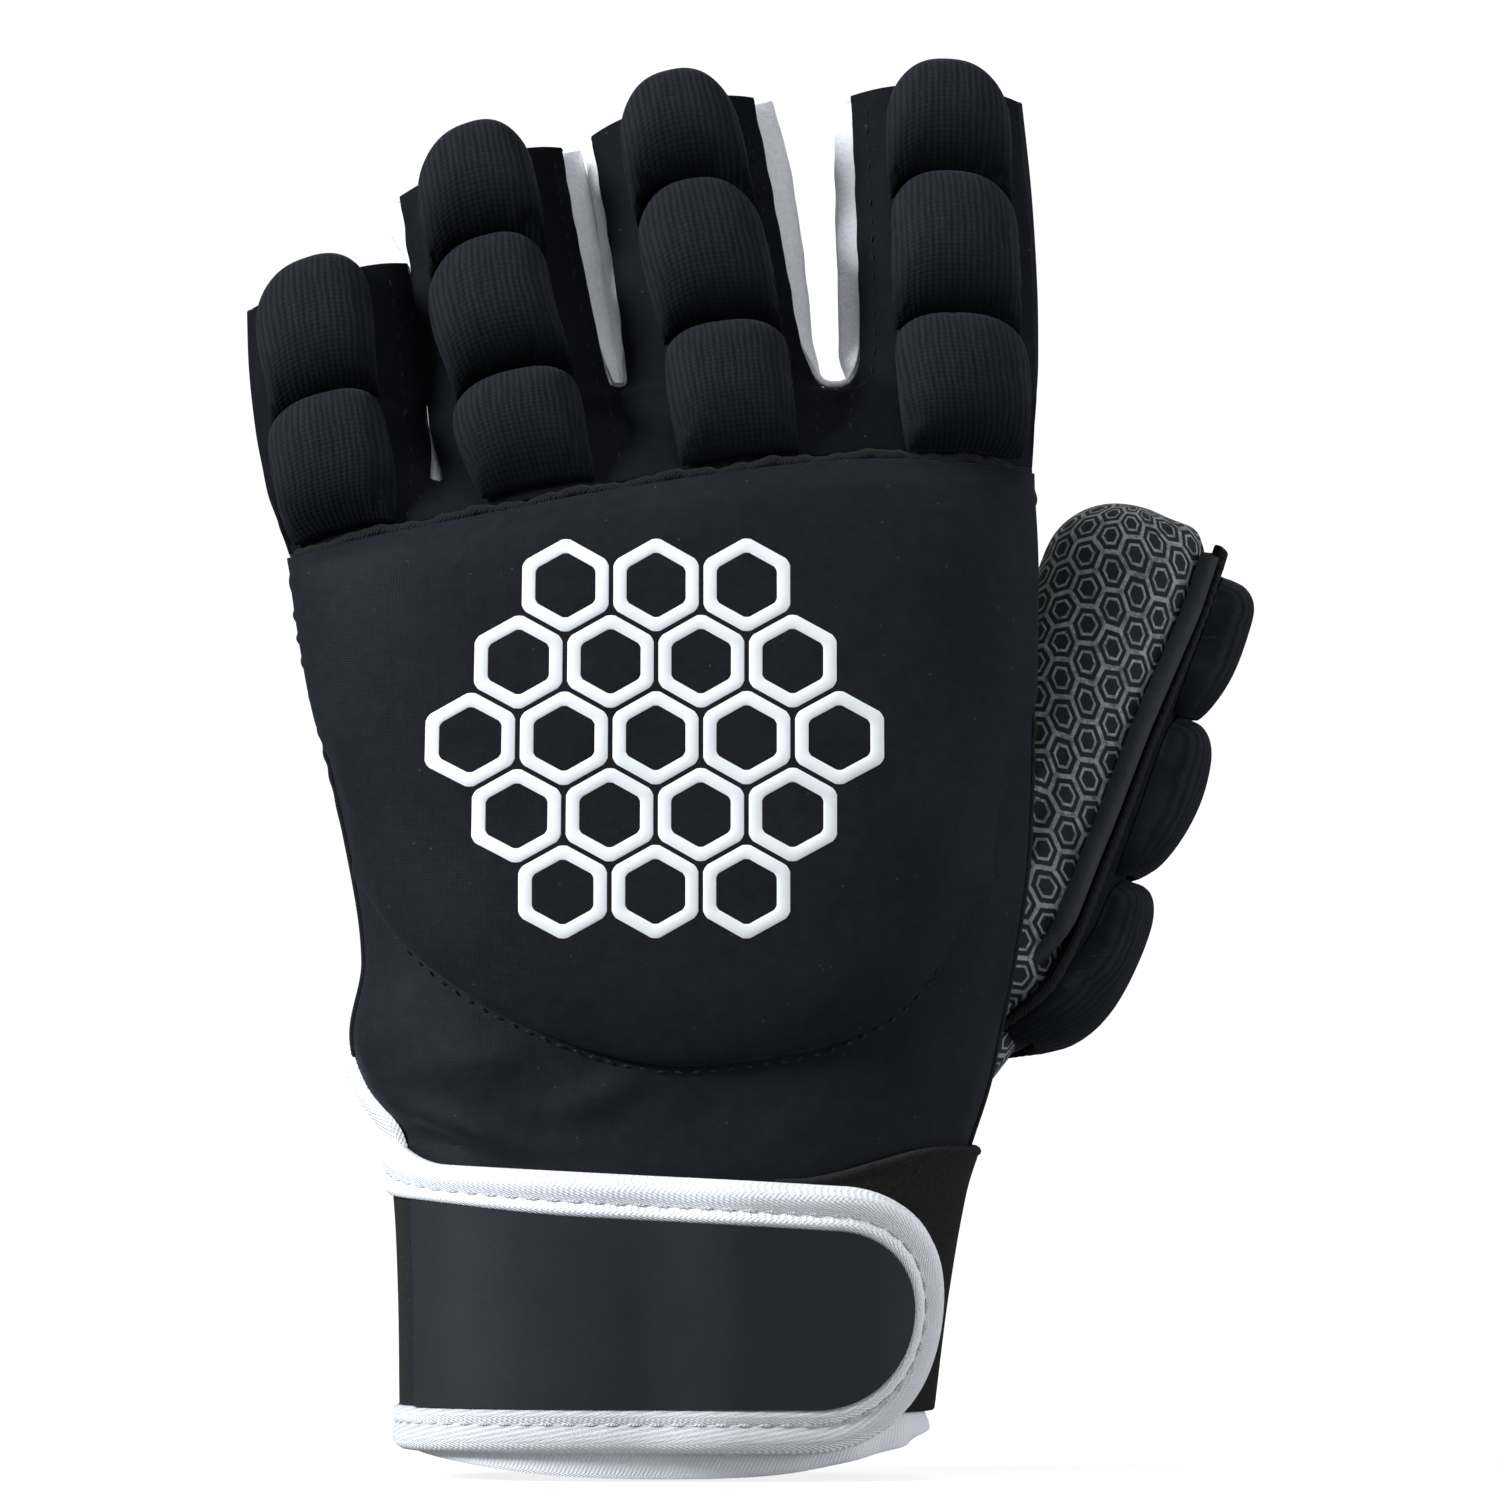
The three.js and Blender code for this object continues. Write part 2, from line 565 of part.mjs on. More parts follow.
const thumbStrip = wall(
  thumbStripFace(THUMB_STRIP.half, THUMB_STRIP.from, THUMB_STRIP.to),
  ...FACETS.thumbStrip,
  CLEAR,
  CLEAR + THUMB_STRIP.thick,
);
add("thumb_strip", resting(thumbStrip), FABRIC);

const pipingFace = (u, v) =>
  thumbStripPoint(
    mix(THUMB_PIPING.from, THUMB_PIPING.to, u),
    mix(THUMB_STRIP.from, 1.14, v),
  );
const piping = wall(pipingFace, 2, FACETS.thumbStrip[1], CLEAR, CLEAR + THUMB_PIPING.thick);
add("thumb_piping", resting(piping), FABRIC);

for (let k = 0; k < THUMB_PADS.steps.length - 1; k++) {
  const [from, to] = [THUMB_PADS.steps[k] + 0.004, THUMB_PADS.steps[k + 1] - 0.004];
  const low = CLEAR + THUMB_STRIP.thick + PAD_SEAT;
  const block = (u, v) => {
    const [a, b] = roundCorners(u, v);
    return thumbStripPoint(mix(-THUMB_PADS.half, THUMB_PADS.half, a), mix(from, to, b));
  };
  const top = (u, v) => low + PAD_RIM + (THUMB_PADS.rise - PAD_RIM) * crown(...roundCorners(u, v));
  add(`thumb_pad_${k + 1}`, resting(wall(block, ...FACETS.pad, low, top)), KNIT);
}

// Palm panel: the palm of the hand, the palm sides of the fingers and their two outer sides.
function outerSide(name, edge) {
  return wall(
    (u, v) => {
      const t = mix(0.02, 1, v);
      const deep = fingerCorner(name, edge, 1, t).distanceTo(fingerCorner(name, edge, -1, t));
      const tuck = Math.min(0.8, STRIP_TUCK / deep);
      const share = edge === "R" ? mix(tuck, 1.06, u) : mix(1.06, tuck, u);
      return sidePoint(name, edge, t, share, edgeTangent(name, edge, t));
    },
    ...FACETS.side,
    -SHELL,
    0,
  );
}

function palmTine(name) {
  const face = fingerFace(name, 1);
  const { left, right } = CROTCH_T[name];
  const lap = (t, crotch) => (t < crotch ? 0.008 : 0);
  return wall(
    (u, v) => {
      const t = mix(-0.02, 1, v);
      return face(mix(-lap(t, right), 1 + lap(t, left), u), t);
    },
    ...FACETS.palmStrip,
    PALM_STEP - SHELL,
    PALM_STEP,
  );
}

const palm = joined([
  bodyWall(SEAM_ANGLE + SEAM_GAP, 360 - SEAM_ANGLE - SEAM_GAP),
  ...NAMES.map(palmTine),
  outerSide("little", "L"),
  outerSide("index", "R"),
]);
add("palm_panel", geometryFrom(palm.subtract(thumbHollow)), PRINTED);

// Padded shell over the back of the hand.
function backPadFace(u, v) {
  const across = 2 * u - 1;
  const left = lookUp(BACK_PAD_SIDES, "v", "left", v);
  const right = lookUp(BACK_PAD_SIDES, "v", "right", v);
  const bottomX = lookUp(BACK_PAD_EDGE, "u", "x", across);
  const sideX = mix(left, right, u);
  const x = mix(bottomX, sideX, smooth(0, 0.5, v));
  const bottom = lookUp(BACK_PAD_EDGE, "u", "z", across);
  const z = mix(bottom, seamHeight(x) - GAP, v);
  return new THREE.Vector3(x, -bodyDepth("back", x, z), z);
}

const backPadTop = (u, v) => {
  const hill = (w) => Math.max(0, 1 - Math.abs(2 * w - 1) ** BACK_PAD.round) ** 0.6;
  return GAP + BACK_PAD.rim + (BACK_PAD.rise - BACK_PAD.rim) * hill(u) * hill(v);
};
add("back_pad", resting(wall(backPadFace, ...FACETS.backPad, 0, backPadTop)), FABRIC);

// Wrist: distance along the wrist from the middle of the back, turned into an angle.
const WRIST_STEPS = (() => {
  const steps = [{ degrees: -180, s: 0 }];
  for (let degrees = -179; degrees <= 180; degrees++) {
    const moved = bodyPoint(degrees, 22, 2).distanceTo(bodyPoint(degrees - 1, 22, 2));
    steps.push({ degrees, s: steps[steps.length - 1].s + moved });
  }
  const middle = steps[180].s;
  return steps.map(({ degrees, s }) => ({ degrees, s: s - middle }));
})();

function wristFace(s, z) {
  const step = 1e-2;
  const at = (a, b) => bodyPoint(lookUp(WRIST_STEPS, "s", "degrees", a), b);
  const across = at(s + step, z).sub(at(s - step, z));
  const along = at(s, z + step).sub(at(s, z - step));
  return { point: at(s, z), normal: across.cross(along).normalize() };
}

const strapLift = (s) =>
  mix(STRAP_LIFT.left, STRAP_LIFT.right, smooth(STRAP_LIFT.from, STRAP_LIFT.to, s));

// Distances between two ends round the wrist, with a stop at each of the hand's columns.
function wristStops(from, to) {
  const stops = WRIST_STEPS.filter(({ degrees }) => degrees % BODY_STEP === 0).map(({ s }) => s);
  return [from, ...stops.filter((s) => s > from + 1.5 && s < to - 1.5), to];
}

// The strap's outline: along the top, round the end and back along the bottom.
function strapEdge(start, inset) {
  const { end, bottom, top, corner } = STRAP;
  const topAt = (s) => top + STRAP_SLOPE * s - inset;
  const capTop = topAt(end - corner);
  const middle = (bottom + inset + capTop) / 2;
  const long = wristStops(start, end - corner);
  const turn = (angle) => [
    end - corner + (corner - inset) * Math.cos(angle),
    middle + (capTop - middle) * Math.sin(angle),
  ];
  return [
    ...long.map((s) => [s, topAt(s)]),
    ...Array.from({ length: 9 }, (_, i) => turn(radians(72 - i * 18))),
    ...long.reverse().map((s) => [s, bottom + inset]),
  ];
}

// A closed sheet laid round the wrist between two offsets, from rows of [s, z] points.
function laid(rows, low, high) {
  const columns = rows[0].length;
  const onRows = rows.flat().map(([s, z]) => ({ s, ...wristFace(s, z) }));
  const at = ({ s, point, normal }, offset) => point.clone().addScaledVector(normal, offset(s));
  const points = [high, low].flatMap((offset) => onRows.map((place) => at(place, offset)));
  return closeSheet(points, columns, rows.length);
}

// The strap's core and patch span the outline's two long edges and its round end.
function strapSheet(start, inset, low, high) {
  const edge = strapEdge(start, inset);
  const half = (edge.length + 1) / 2;
  const upper = edge.slice(0, half);
  const lower = edge.slice(half - 1).reverse();
  const between = (w) => upper.map((point, i) => point.map((value, k) => mix(lower[i][k], value, w)));
  return laid([0, 0.5, 1].map(between), low, high);
}

const flatLow = () => CLEAR;
const strapTop = (s) => strapLift(s) + STRAP.thick;
const patchLow = (s) => strapTop(s) + GAP;
const patchTop = (s) => patchLow(s) + PATCH.thick;
add("strap", strapSheet(STRAP.start, BINDING.width + GAP, strapLift, strapTop), LOOP);
add("strap_patch", strapSheet(PATCH.start, PATCH.inset, patchLow, patchTop), RUBBER);

// The loop tab under the strap's end.
const tabRows = [LOOP_TAB.bottom, (LOOP_TAB.bottom + LOOP_TAB.top) / 2, LOOP_TAB.top].map((z) =>
  wristStops(LOOP_TAB.from, LOOP_TAB.to).map((s) => [s, z]),
);
add("loop_tab", laid(tabRows, flatLow, () => CLEAR + LOOP_TAB.thick), LOOP);

// White binding round the strap, and up the slit at the side of the wrist.
const bindingTop = (s) => strapLift(s) + BINDING.thick;
const bindingRows = [BINDING.width, BINDING.width / 2, 0].map((inset) => strapEdge(STRAP.start, inset));
add("strap_binding", laid(bindingRows, strapLift, bindingTop), WHITE);

const slitRows = [0, SLIT_WIDTH / 2, SLIT_WIDTH].map((inset) =>
  SLIT.map(({ s, z }) => [s - inset, z]),
);
add("slit_binding", resting(laid(slitRows, () => 0, () => CLEAR + SLIT_THICK)), WHITE);

// The white hem round the wrist opening.
const hemRing = (grow, z) =>
  bodyColumns.slice(1).map((degrees) => {
    const dip = HEM_BOTTOM.middle - HEM_BOTTOM.sides;
    const lower = dip * Math.cos(radians(degrees)) ** 2 + HEM_BOTTOM.sides;
    return bodyPoint(degrees, z ?? lower, grow);
  });
const hem = solidOf(loft([hemRing(0), hemRing(0, HEM_TOP)]));
const hemHollow = solidOf(
  loft([hemRing(-HEM_THICK, HEM_BOTTOM.middle - 1), hemRing(-HEM_THICK, HEM_TOP + 1)]),
);
add("hem_binding", geometryFrom(hem.subtract(hemHollow)), WHITE);

export default glove;
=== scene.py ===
"""Looks of a left-hand field hockey glove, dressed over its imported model.

Shapes are worked out in millimetres, in the part's own frame: +Z runs from the wrist to the
fingertips, -Y is the back of the hand and +X the thumb side. Meshes are stored in metres.
"""

import bpy
import numpy as np
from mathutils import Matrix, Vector


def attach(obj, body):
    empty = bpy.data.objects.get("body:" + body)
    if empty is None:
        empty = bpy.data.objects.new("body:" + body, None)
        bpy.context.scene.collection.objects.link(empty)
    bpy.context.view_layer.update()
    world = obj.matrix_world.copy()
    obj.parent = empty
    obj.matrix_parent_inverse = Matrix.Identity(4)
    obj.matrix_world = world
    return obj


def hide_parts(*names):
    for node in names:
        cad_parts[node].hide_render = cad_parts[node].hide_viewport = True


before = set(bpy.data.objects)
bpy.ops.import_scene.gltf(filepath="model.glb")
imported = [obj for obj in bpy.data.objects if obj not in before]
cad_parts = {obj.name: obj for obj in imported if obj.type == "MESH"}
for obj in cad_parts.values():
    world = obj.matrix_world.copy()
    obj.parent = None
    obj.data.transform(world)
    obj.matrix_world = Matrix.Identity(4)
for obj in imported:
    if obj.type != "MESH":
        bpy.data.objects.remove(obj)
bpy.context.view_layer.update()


def table(text):
    """Named columns of numbers. The others are looked up by the first."""
    header, *rows = text.strip().splitlines()
    return dict(zip(header.split(), np.array([row.split() for row in rows], float).T))


# Driving dimensions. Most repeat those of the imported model. Here the fingers' tables have more
# rows, and the hem's binding reaches higher.
GAP = 0.3
CLEAR = 0.45
SHELL = 1.8
PALM_STEP = 0.15
SIDE_WALL = 1.1
SEAM_ANGLE = 88
SEAM_GAP = 1.2
HEM_TOP = 7.4
HEM_DIP, HEM_SIDES = -2.8, 0.8
HEM_THICK = 2.6
SECTION_POWER = 2.4

BODY = table("""
    z    left   right  back  palm
    -2   -37.4  37.4   24.0  24.0
    8    -37.6  38.6   24.0  24.0
    24   -37.8  40.6   24.0  24.0
    40   -38.6  43.4   23.6  24.4
    47   -40.0  45.6   23.2  25.4
    55   -44.8  48.2   22.6  26.6
    63   -46.8  50.0   22.0  27.0
    74   -45.0  52.2   21.0  26.4
    90   -47.2  54.4   19.6  24.0
    120  -54.0  55.2   17.2  19.0
    135  -56.0  54.8   16.2  16.8
    150  -57.6  55.2   15.2  15.2
""")
KNUCKLE_SEAM = table("""
    x      z
    -58    134.2
    -45    137.6
    -31.5  140.3
    -4     145.5
    25     149.2
    42     149.2
    56     147.2
""")

# Each finger by the share run along it: its left and right edges, and how far its sides bulge.
FINGERS = {
    "little": table("""
    t     xL     zL     xR      zR     bulgeL  bulgeR
    0     -56.2  134.6  -31.5   140.3  0.2  0
    0.12  -57.7  139.1  -34.1   145.1  0.5  0
    0.14  -57.9  139.9  -35.0   145.9  0.5  0
    0.25  -59.1  144.0  -34.8   150.2  0.8  0
    0.36  -59.9  148.2  -35.45  154.5  0.9  0
    0.5   -60.8  153.4  -35.95  160.0  1    0
    0.75  -61.9  162.8  -37.05  169.8  1    0
    1     -62.3  172.0  -38.5   179.0  1    0
    """),
    "ring": table("""
    t     xL     zL     xR     zR     bulgeL  bulgeR
    0     -31.5  140.3  -4.0   145.5  0    0.2
    0.1   -33.9  145.0  -4.9   150.5  0    0.2
    0.12  -33.2  145.9  -5.2   151.5  0    0.2
    0.19  -34.2  149.5  -6.0   155.3  0    0.1
    0.27  -35.2  153.4  -6.9   159.5  0    0.4
    0.29  -35.4  154.4  -8.1   160.4  0    1.7
    0.5   -36.8  164.5  -10.6  171.0  0    2.8
    0.75  -38.4  177.2  -13.2  184.0  0    3.4
    0.9   -39.4  184.3  -14.5  191.5  2.6  3.2
    1     -40.0  189.0  -15.4  196.5  2.2  3.0
    """),
    "middle": table("""
    t      xL     zL     xR    zR     bulgeL  bulgeR
    0      -4.0   145.5  25.0  149.2  0.2  0.2
    0.2    -5.7   155.4  25.5  159.5  0.1  0.1
    0.215  -6.0   156.3  23.9  160.0  0.1  0.1
    0.24   -6.4   157.8  22.6  161.4  0.1  0.1
    0.27   -6.9   159.5  21.8  163.2  0.3  0.6
    0.285  -5.8   160.3  21.4  164.1  1.0  0.9
    0.34   -6.1   163.2  20.4  166.9  1.3  1.6
    0.5    -7.1   171.6  18.9  175.4  1.7  2.8
    0.75   -9.0   185.2  16.3  189.6  1.9  3.6
    1      -11.4  198.2  13.4  204.0  1.6  2.8
    """),
    "index": table("""
    t      xL    zL     xR    zR     bulgeL  bulgeR
    0      25.0  149.2  55.0  147.3  0.2  0.2
    0.19   25.5  159.5  55.7  158.0  0.1  0.4
    0.205  27.0  160.0  55.7  158.9  0.1  0.4
    0.225  28.1  161.2  55.7  160.0  0.1  0.5
    0.25   28.7  162.7  55.7  161.4  1.5  0.6
    0.31   29.0  165.6  55.7  164.6  2.7  0.7
    0.5    28.9  175.6  55.4  174.8  3.3  0.9
    0.75   28.4  190.0  54.6  189.2  3.2  0.9
    1      27.8  204.2  53.2  203.4  2.2  0.9
    """),
}
NAMES = list(FINGERS)
CROTCH = {"little": (0, 0.13), "ring": (0.11, 0.27), "middle": (0.27, 0.2), "index": (0.19, 0)}
FLEX_START, FLEX_END, FLEX_LENGTH, WEB = 5, 25, 58, 13
FINGER_CORNER = 5.4
FINGER_ARCH = 5.0
MIN_DEPTH = 2.8
TUCK_SHARE = (SHELL + GAP) / (2 * FINGER_CORNER)

# Foam blocks on the fingers: their ends along the finger, how far each end arches up, their rise
# over the strip, and their sides.
PAD_ENDS = {
    "little": (0.045, 0.527, 1.05),
    "ring": (0.035, 0.363, 0.74, 1.07),
    "middle": (0.03, 0.396, 0.762, 1.045),
    "index": (0.03, 0.388, 0.748, 1.028),
}
PAD_ARCHES = {
    "little": (0.8, 1.6, 3.2),
    "ring": (0.6, 2.0, 3.2, 4.2),
    "middle": (0.6, 2.0, 4.0, 4.2),
    "index": (0.4, 2.2, 3.0, 4.0),
}
PAD_RISE = {"little": 7.2, "ring": 8.0, "middle": 8.2, "index": 8.2}
PAD_SIDES = {
    "little": table("""
    t    left   right
    0    -54.5  -39.5
    0.2  -57.0  -40.2
    0.4  -58.5  -41.8
    0.6  -58.9  -43.1
    0.8  -60.0  -43.6
    1    -60.5  -44.6
    """),
    "ring": table("""
    t     left   right
    0     -26.7  -9.8
    0.2   -30.6  -12.0
    0.36  -31.5  -13.9
    0.56  -34.2  -16.8
    0.76  -35.4  -18.2
    1     -36.7  -20.6
    """),
    "middle": table("""
    t    left  right
    0    2.6   20.5
    0.2  0.9   18.9
    0.4  -0.6  17.0
    0.6  -3.2  14.8
    0.8  -5.2  12.2
    1    -6.9  9.4
    """),
    "index": table("""
    t    left  right
    0    35.9  52.9
    0.2  34.8  53.8
    0.4  34.2  53.0
    0.6  34.0  52.3
    0.8  33.4  51.4
    1    33.4  50.6
    """),
}
PAD_SEAT, PAD_SEAT_LOW = 0.55, 0.8
PAD_RIM = 0.8

BACK_PAD_EDGE = table("""
    u      x      z
    -1     -45.6  87
    -0.78  -36.2  74.5
    -0.45  -21.5  65.2
    -0.05  -2.5   59.0
    0.32   15     59.8
    0.6    28     63.2
    0.8    38     70.2
    1      48.4   87
""")
BACK_PAD_SIDES = table("""
    v    left   right
    0    -45.6  48.4
    0.3  -48.8  53.4
    0.6  -52.2  54.4
    1    -55.4  54.2
""")
BACK_PAD_RISE, BACK_PAD_RIM = 6.8, 0.9

THUMB = table("""
    v     x     y   z      thick  wide  turn
    0     35    7   57     13.6   14.6  -2
    0.25  48.6  12  75.5   13.4   14.0  -7
    0.5   56.6  16  94.8   12.8   13.2  -12
    0.75  62.6  19  113.2  12.4   12.8  -20
    1     68.3  21  130.4  12.2   12.6  -31
""")
THUMB_TIP = 12.6
THUMB_CLOSE = 0.3
THUMB_RADIUS = 12.8
THUMB_STRIP = {"half": 56, "from": 0.15, "to": 1.24, "thick": 1.6, "tab": 42}
THUMB_STRIP_TOP = CLEAR + THUMB_STRIP["thick"]
THUMB_PADS = {"half": 47, "rise": (5.2, 7.0, 7.2), "steps": (0.165, 0.452, 0.787, 1.17), "tall": 75}

STRAP = {"start": -104, "end": 43, "bottom": 1.0, "top": 42.1, "corner": 20.5, "thick": 1.8}
STRAP_SLOPE = -0.052
STRAP_CLIMB, PATCH_CLIMB = 5.0, 1.3
STRAP_LIFT = {"left": 0.45, "right": 2.5, "from": -6, "to": 11}
BINDING = 4.3
PATCH_START, PATCH_INSET, PATCH_THICK = -42, 6.7, 0.7
LOOP_TAB = {"from": 14, "to": 88, "bottom": 7.0, "top": 46.0, "thick": 1.5}
SLIT = table("""
    k  s      z     width
    0  -55.2  62    1.6
    1  -52.0  58.4  3.2
    2  -48.2  54.4  5.2
    3  -45.2  50.2  7.6
    4  -46.0  46.2  7.6
""")
SLIT_THICK = 1.4


# Curves and surfaces, over whole arrays at once.
def mix(a, b, w):
    return a + (b - a) * w


def smooth(start, end, value):
    w = np.clip((value - start) / (end - start), 0, 1)
    return w * w * (3 - 2 * w)


def unit(vectors):
    return vectors / np.maximum(np.linalg.norm(vectors, axis=-1, keepdims=True), 1e-12)


def points(x, y, z):
    return np.stack(np.broadcast_arrays(x, y, z), -1).astype(float)


def normals(face, u, v, step=(1e-3, 1e-3)):
    across = face(u + step[0], v) - face(u - step[0], v)
    along = face(u, v + step[1]) - face(u, v - step[1])
    return unit(np.cross(across, along))


def look_up(data, column, at):
    """A smooth curve through one column, straight on past both ends."""
    k, y = next(iter(data.values())), data[column]
    at = np.asarray(at, float)
    last = len(k) - 1

    def slope(i, j):
        return (y[j] - y[i]) / (k[j] - k[i])

    i = np.clip(np.searchsorted(k, at) - 1, 0, last - 1)
    width = k[i + 1] - k[i]
    start = slope(np.maximum(i - 1, 0), i + 1) * width
    end = slope(i, np.minimum(i + 2, last)) * width
    w = (at - k[i]) / width
    inside = (
        y[i] * (1 + 2 * w) * (1 - w) ** 2
        + start * w * (1 - w) ** 2
        + y[i + 1] * w * w * (3 - 2 * w)
        - end * w * w * (1 - w)
    )
    before = y[0] + slope(0, 1) * (at - k[0])
    after = y[last] + slope(last - 1, last) * (at - k[last])
    return np.where(at <= k[0], before, np.where(at >= k[last], after, inside))


def both(data, at, columns="left right"):
    return [look_up(data, column, at) for column in columns.split()]


def round_power(value):
    return np.sign(value) * np.abs(value) ** (2 / SECTION_POWER)


def body_point(degrees, z, offset=0.0):
    """The hand's outside: angle 0 is the back, 90 the thumb side, 180 the palm."""
    left, right = both(BODY, z)
    s, c = np.sin(np.radians(degrees)), np.cos(np.radians(degrees))
    deep = np.where(c >= 0, *both(BODY, z, "back palm")) + offset
    x = (left + right) / 2 + ((right - left) / 2 + offset) * round_power(s)
    return points(x, -deep * round_power(c), z)


def body_depth(side, x, z):
    """How far the back or palm face stands from the mid-plane."""
    left, right = both(BODY, z)
    share = np.minimum(1, np.abs((2 * x - left - right) / (right - left)))
    return look_up(BODY, side, z) * (1 - share**SECTION_POWER) ** (1 / SECTION_POWER)


def back_spot(x, z):
    """The spot on the back of the hand at an x and z."""
    return points(x, -body_depth("back", x, z), z)


def seam_height(x):
    return look_up(KNUCKLE_SEAM, "z", x)


def finger_point(name, w, side, t):
    """The back strip (side -1) or the palm side (1) of a finger, from its left edge to its right."""
    x = mix(*both(FINGERS[name], t, "xL xR"), w)
    z = mix(*both(FINGERS[name], t, "zL zR"), w)
    height = z - seam_height(x)
    free = smooth(0, WEB, height)
    rise = free * FINGER_ARCH * (1 - np.abs(2 * w - 1) ** 2.4)
    lean = np.radians(mix(FLEX_START, FLEX_END, np.maximum(0, height) / FLEX_LENGTH))
    start, end = np.tan(np.radians(FLEX_START)), np.tan(np.radians(FLEX_END))
    middle = start * height + (end - start) * height**2 / (2 * FLEX_LENGTH)
    flat = side * np.maximum(MIN_DEPTH, body_depth("back" if side < 0 else "palm", x, z))
    away = middle + side * (FINGER_CORNER + np.cos(lean) * rise)
    return points(x, mix(flat, away, free), z - side * np.sin(lean) * rise)


def side_point(name, edge, t, share):
    """One side wall of a finger, from its back seam to its palm seam."""
    w, outward = (0, -1) if edge == "L" else (1, 1)
    step = 0.02
    tangent = finger_point(name, w, -1, t + step) - finger_point(name, w, -1, t - step)
    tangent[..., 1] = 0
    tangent = unit(tangent)
    out = points(tangent[..., 2], 0, -tangent[..., 0]) * outward
    bulge = look_up(FINGERS[name], "bulge" + edge, t)
    back, palm = finger_point(name, w, -1, t), finger_point(name, w, 1, t)
    share = np.asarray(share)[..., None]
    along = np.clip((share - TUCK_SHARE) / (1 - 2 * TUCK_SHARE), 0, 1)
    swell = bulge[..., None] * np.sin(np.pi * along)
    return mix(back, palm, share) + out * swell + np.array([-0.35 * outward, 0, 0])


def gap_face(left_finger, right_finger):
    """The white wall between two fingers: down one, round the crotch and up the next."""

    def face(u, v):
        share = mix(1 - TUCK_SHARE, TUCK_SHARE, u)
        run = np.abs(2 * v - 1)
        down = side_point(left_finger, "R", mix(CROTCH[left_finger][1], 0.985, run), share)
        up = side_point(right_finger, "L", mix(CROTCH[right_finger][0], 0.985, run), share)
        return np.where((v < 0.5)[..., None], down, up)

    return face


def turned(vectors, axis, angle):
    """Vectors turned about unit axes."""
    c, s = np.cos(angle)[..., None], np.sin(angle)[..., None]
    along = (vectors * axis).sum(-1, keepdims=True) * axis
    return vectors * c + np.cross(axis, vectors) * s + along * (1 - c)


def thumb_frame(v):
    """The thumb's centre, its axis, the way its nail faces and the way across it."""

    def at(w):
        return points(*both(THUMB, w, "x y z"))

    axis = unit(at(v + 0.01) - at(v - 0.01))
    toward = unit(points(axis[..., 2], 0, -axis[..., 0]))
    nail = unit(turned(toward, axis, -np.radians(look_up(THUMB, "turn", v))))
    return at(v), axis, nail, unit(np.cross(axis, nail))


THUMB_WAY = thumb_frame(np.array(1.0))[1]


def thumb_point(degrees, v, offset=0.0):
    """The thumb: angle 0 is the nail side. Past v = 1 it closes in a round end."""
    degrees, v = np.broadcast_arrays(np.asarray(degrees, float), np.asarray(v, float))
    flat = np.minimum(v, 1)
    centre, axis, nail, side = thumb_frame(flat)
    thick, wide = both(THUMB, flat, "thick wide")
    close = np.minimum(1, np.maximum(0, v - 1) / THUMB_CLOSE)
    shrink = np.sqrt(np.maximum(0, 1 - close**2.2))
    a = np.radians(degrees)
    return (
        centre
        + axis * ((THUMB_TIP + offset) * close)[..., None]
        + nail * (np.cos(a) * (thick + offset) * shrink)[..., None]
        + side * (np.sin(a) * (wide + offset) * shrink)[..., None]
    )


def root_tuck(degrees, v):
    """How far the thumb's outer side draws in towards the hand at its root."""
    outer = smooth(-0.4, 0.7, np.cos(np.radians(np.asarray(degrees) + 40)))
    return -6.5 * smooth(0.25, 0.06, v) * outer


def thumb_strip_point(degrees, v):
    """The strip on the thumb's back, which runs straight on past the thumb as a tab."""
    v = np.asarray(v, float)
    flat = np.minimum(v, 1)
    tab = THUMB_WAY * ((v - flat) * THUMB_STRIP["tab"])[..., None]
    return thumb_point(degrees, flat, root_tuck(degrees, v)) + tab


def thumb_line(degrees, v, offset):
    """A line along the thumb's strip, with the normals there."""
    angle = np.full(len(v), float(degrees))
    normal = normals(thumb_strip_point, angle, v, (0.1, 1e-3))
    return thumb_strip_point(angle, v) + normal * np.reshape(offset, (-1, 1)), normal


def back_pad_face(u, v):
    side_x = mix(*both(BACK_PAD_SIDES, v), u)
    edge_x, edge_z = both(BACK_PAD_EDGE, 2 * u - 1, "x z")
    x = mix(edge_x, side_x, smooth(0, 0.5, v))
    return back_spot(x, mix(edge_z, seam_height(x) - GAP, v))


WRIST_DEGREES = np.arange(-180, 181)
WRIST_RING = body_point(WRIST_DEGREES, 22.0, 2.0)
WRIST_S = np.concatenate([[0], np.cumsum(np.linalg.norm(np.diff(WRIST_RING, axis=0), axis=1))])
WRIST_S = WRIST_S - WRIST_S[180]


def wrist_point(s, z, offset=0.0):
    """A place on the wrist: s is measured round it from the middle of the back."""

    def at(a, b):
        return body_point(np.interp(a, WRIST_S, WRIST_DEGREES), b)

    s, z = np.broadcast_arrays(np.asarray(s, float), np.asarray(z, float))
    return at(s, z) + normals(at, s, z, (0.6, 0.1)) * np.broadcast_to(offset, s.shape)[..., None]


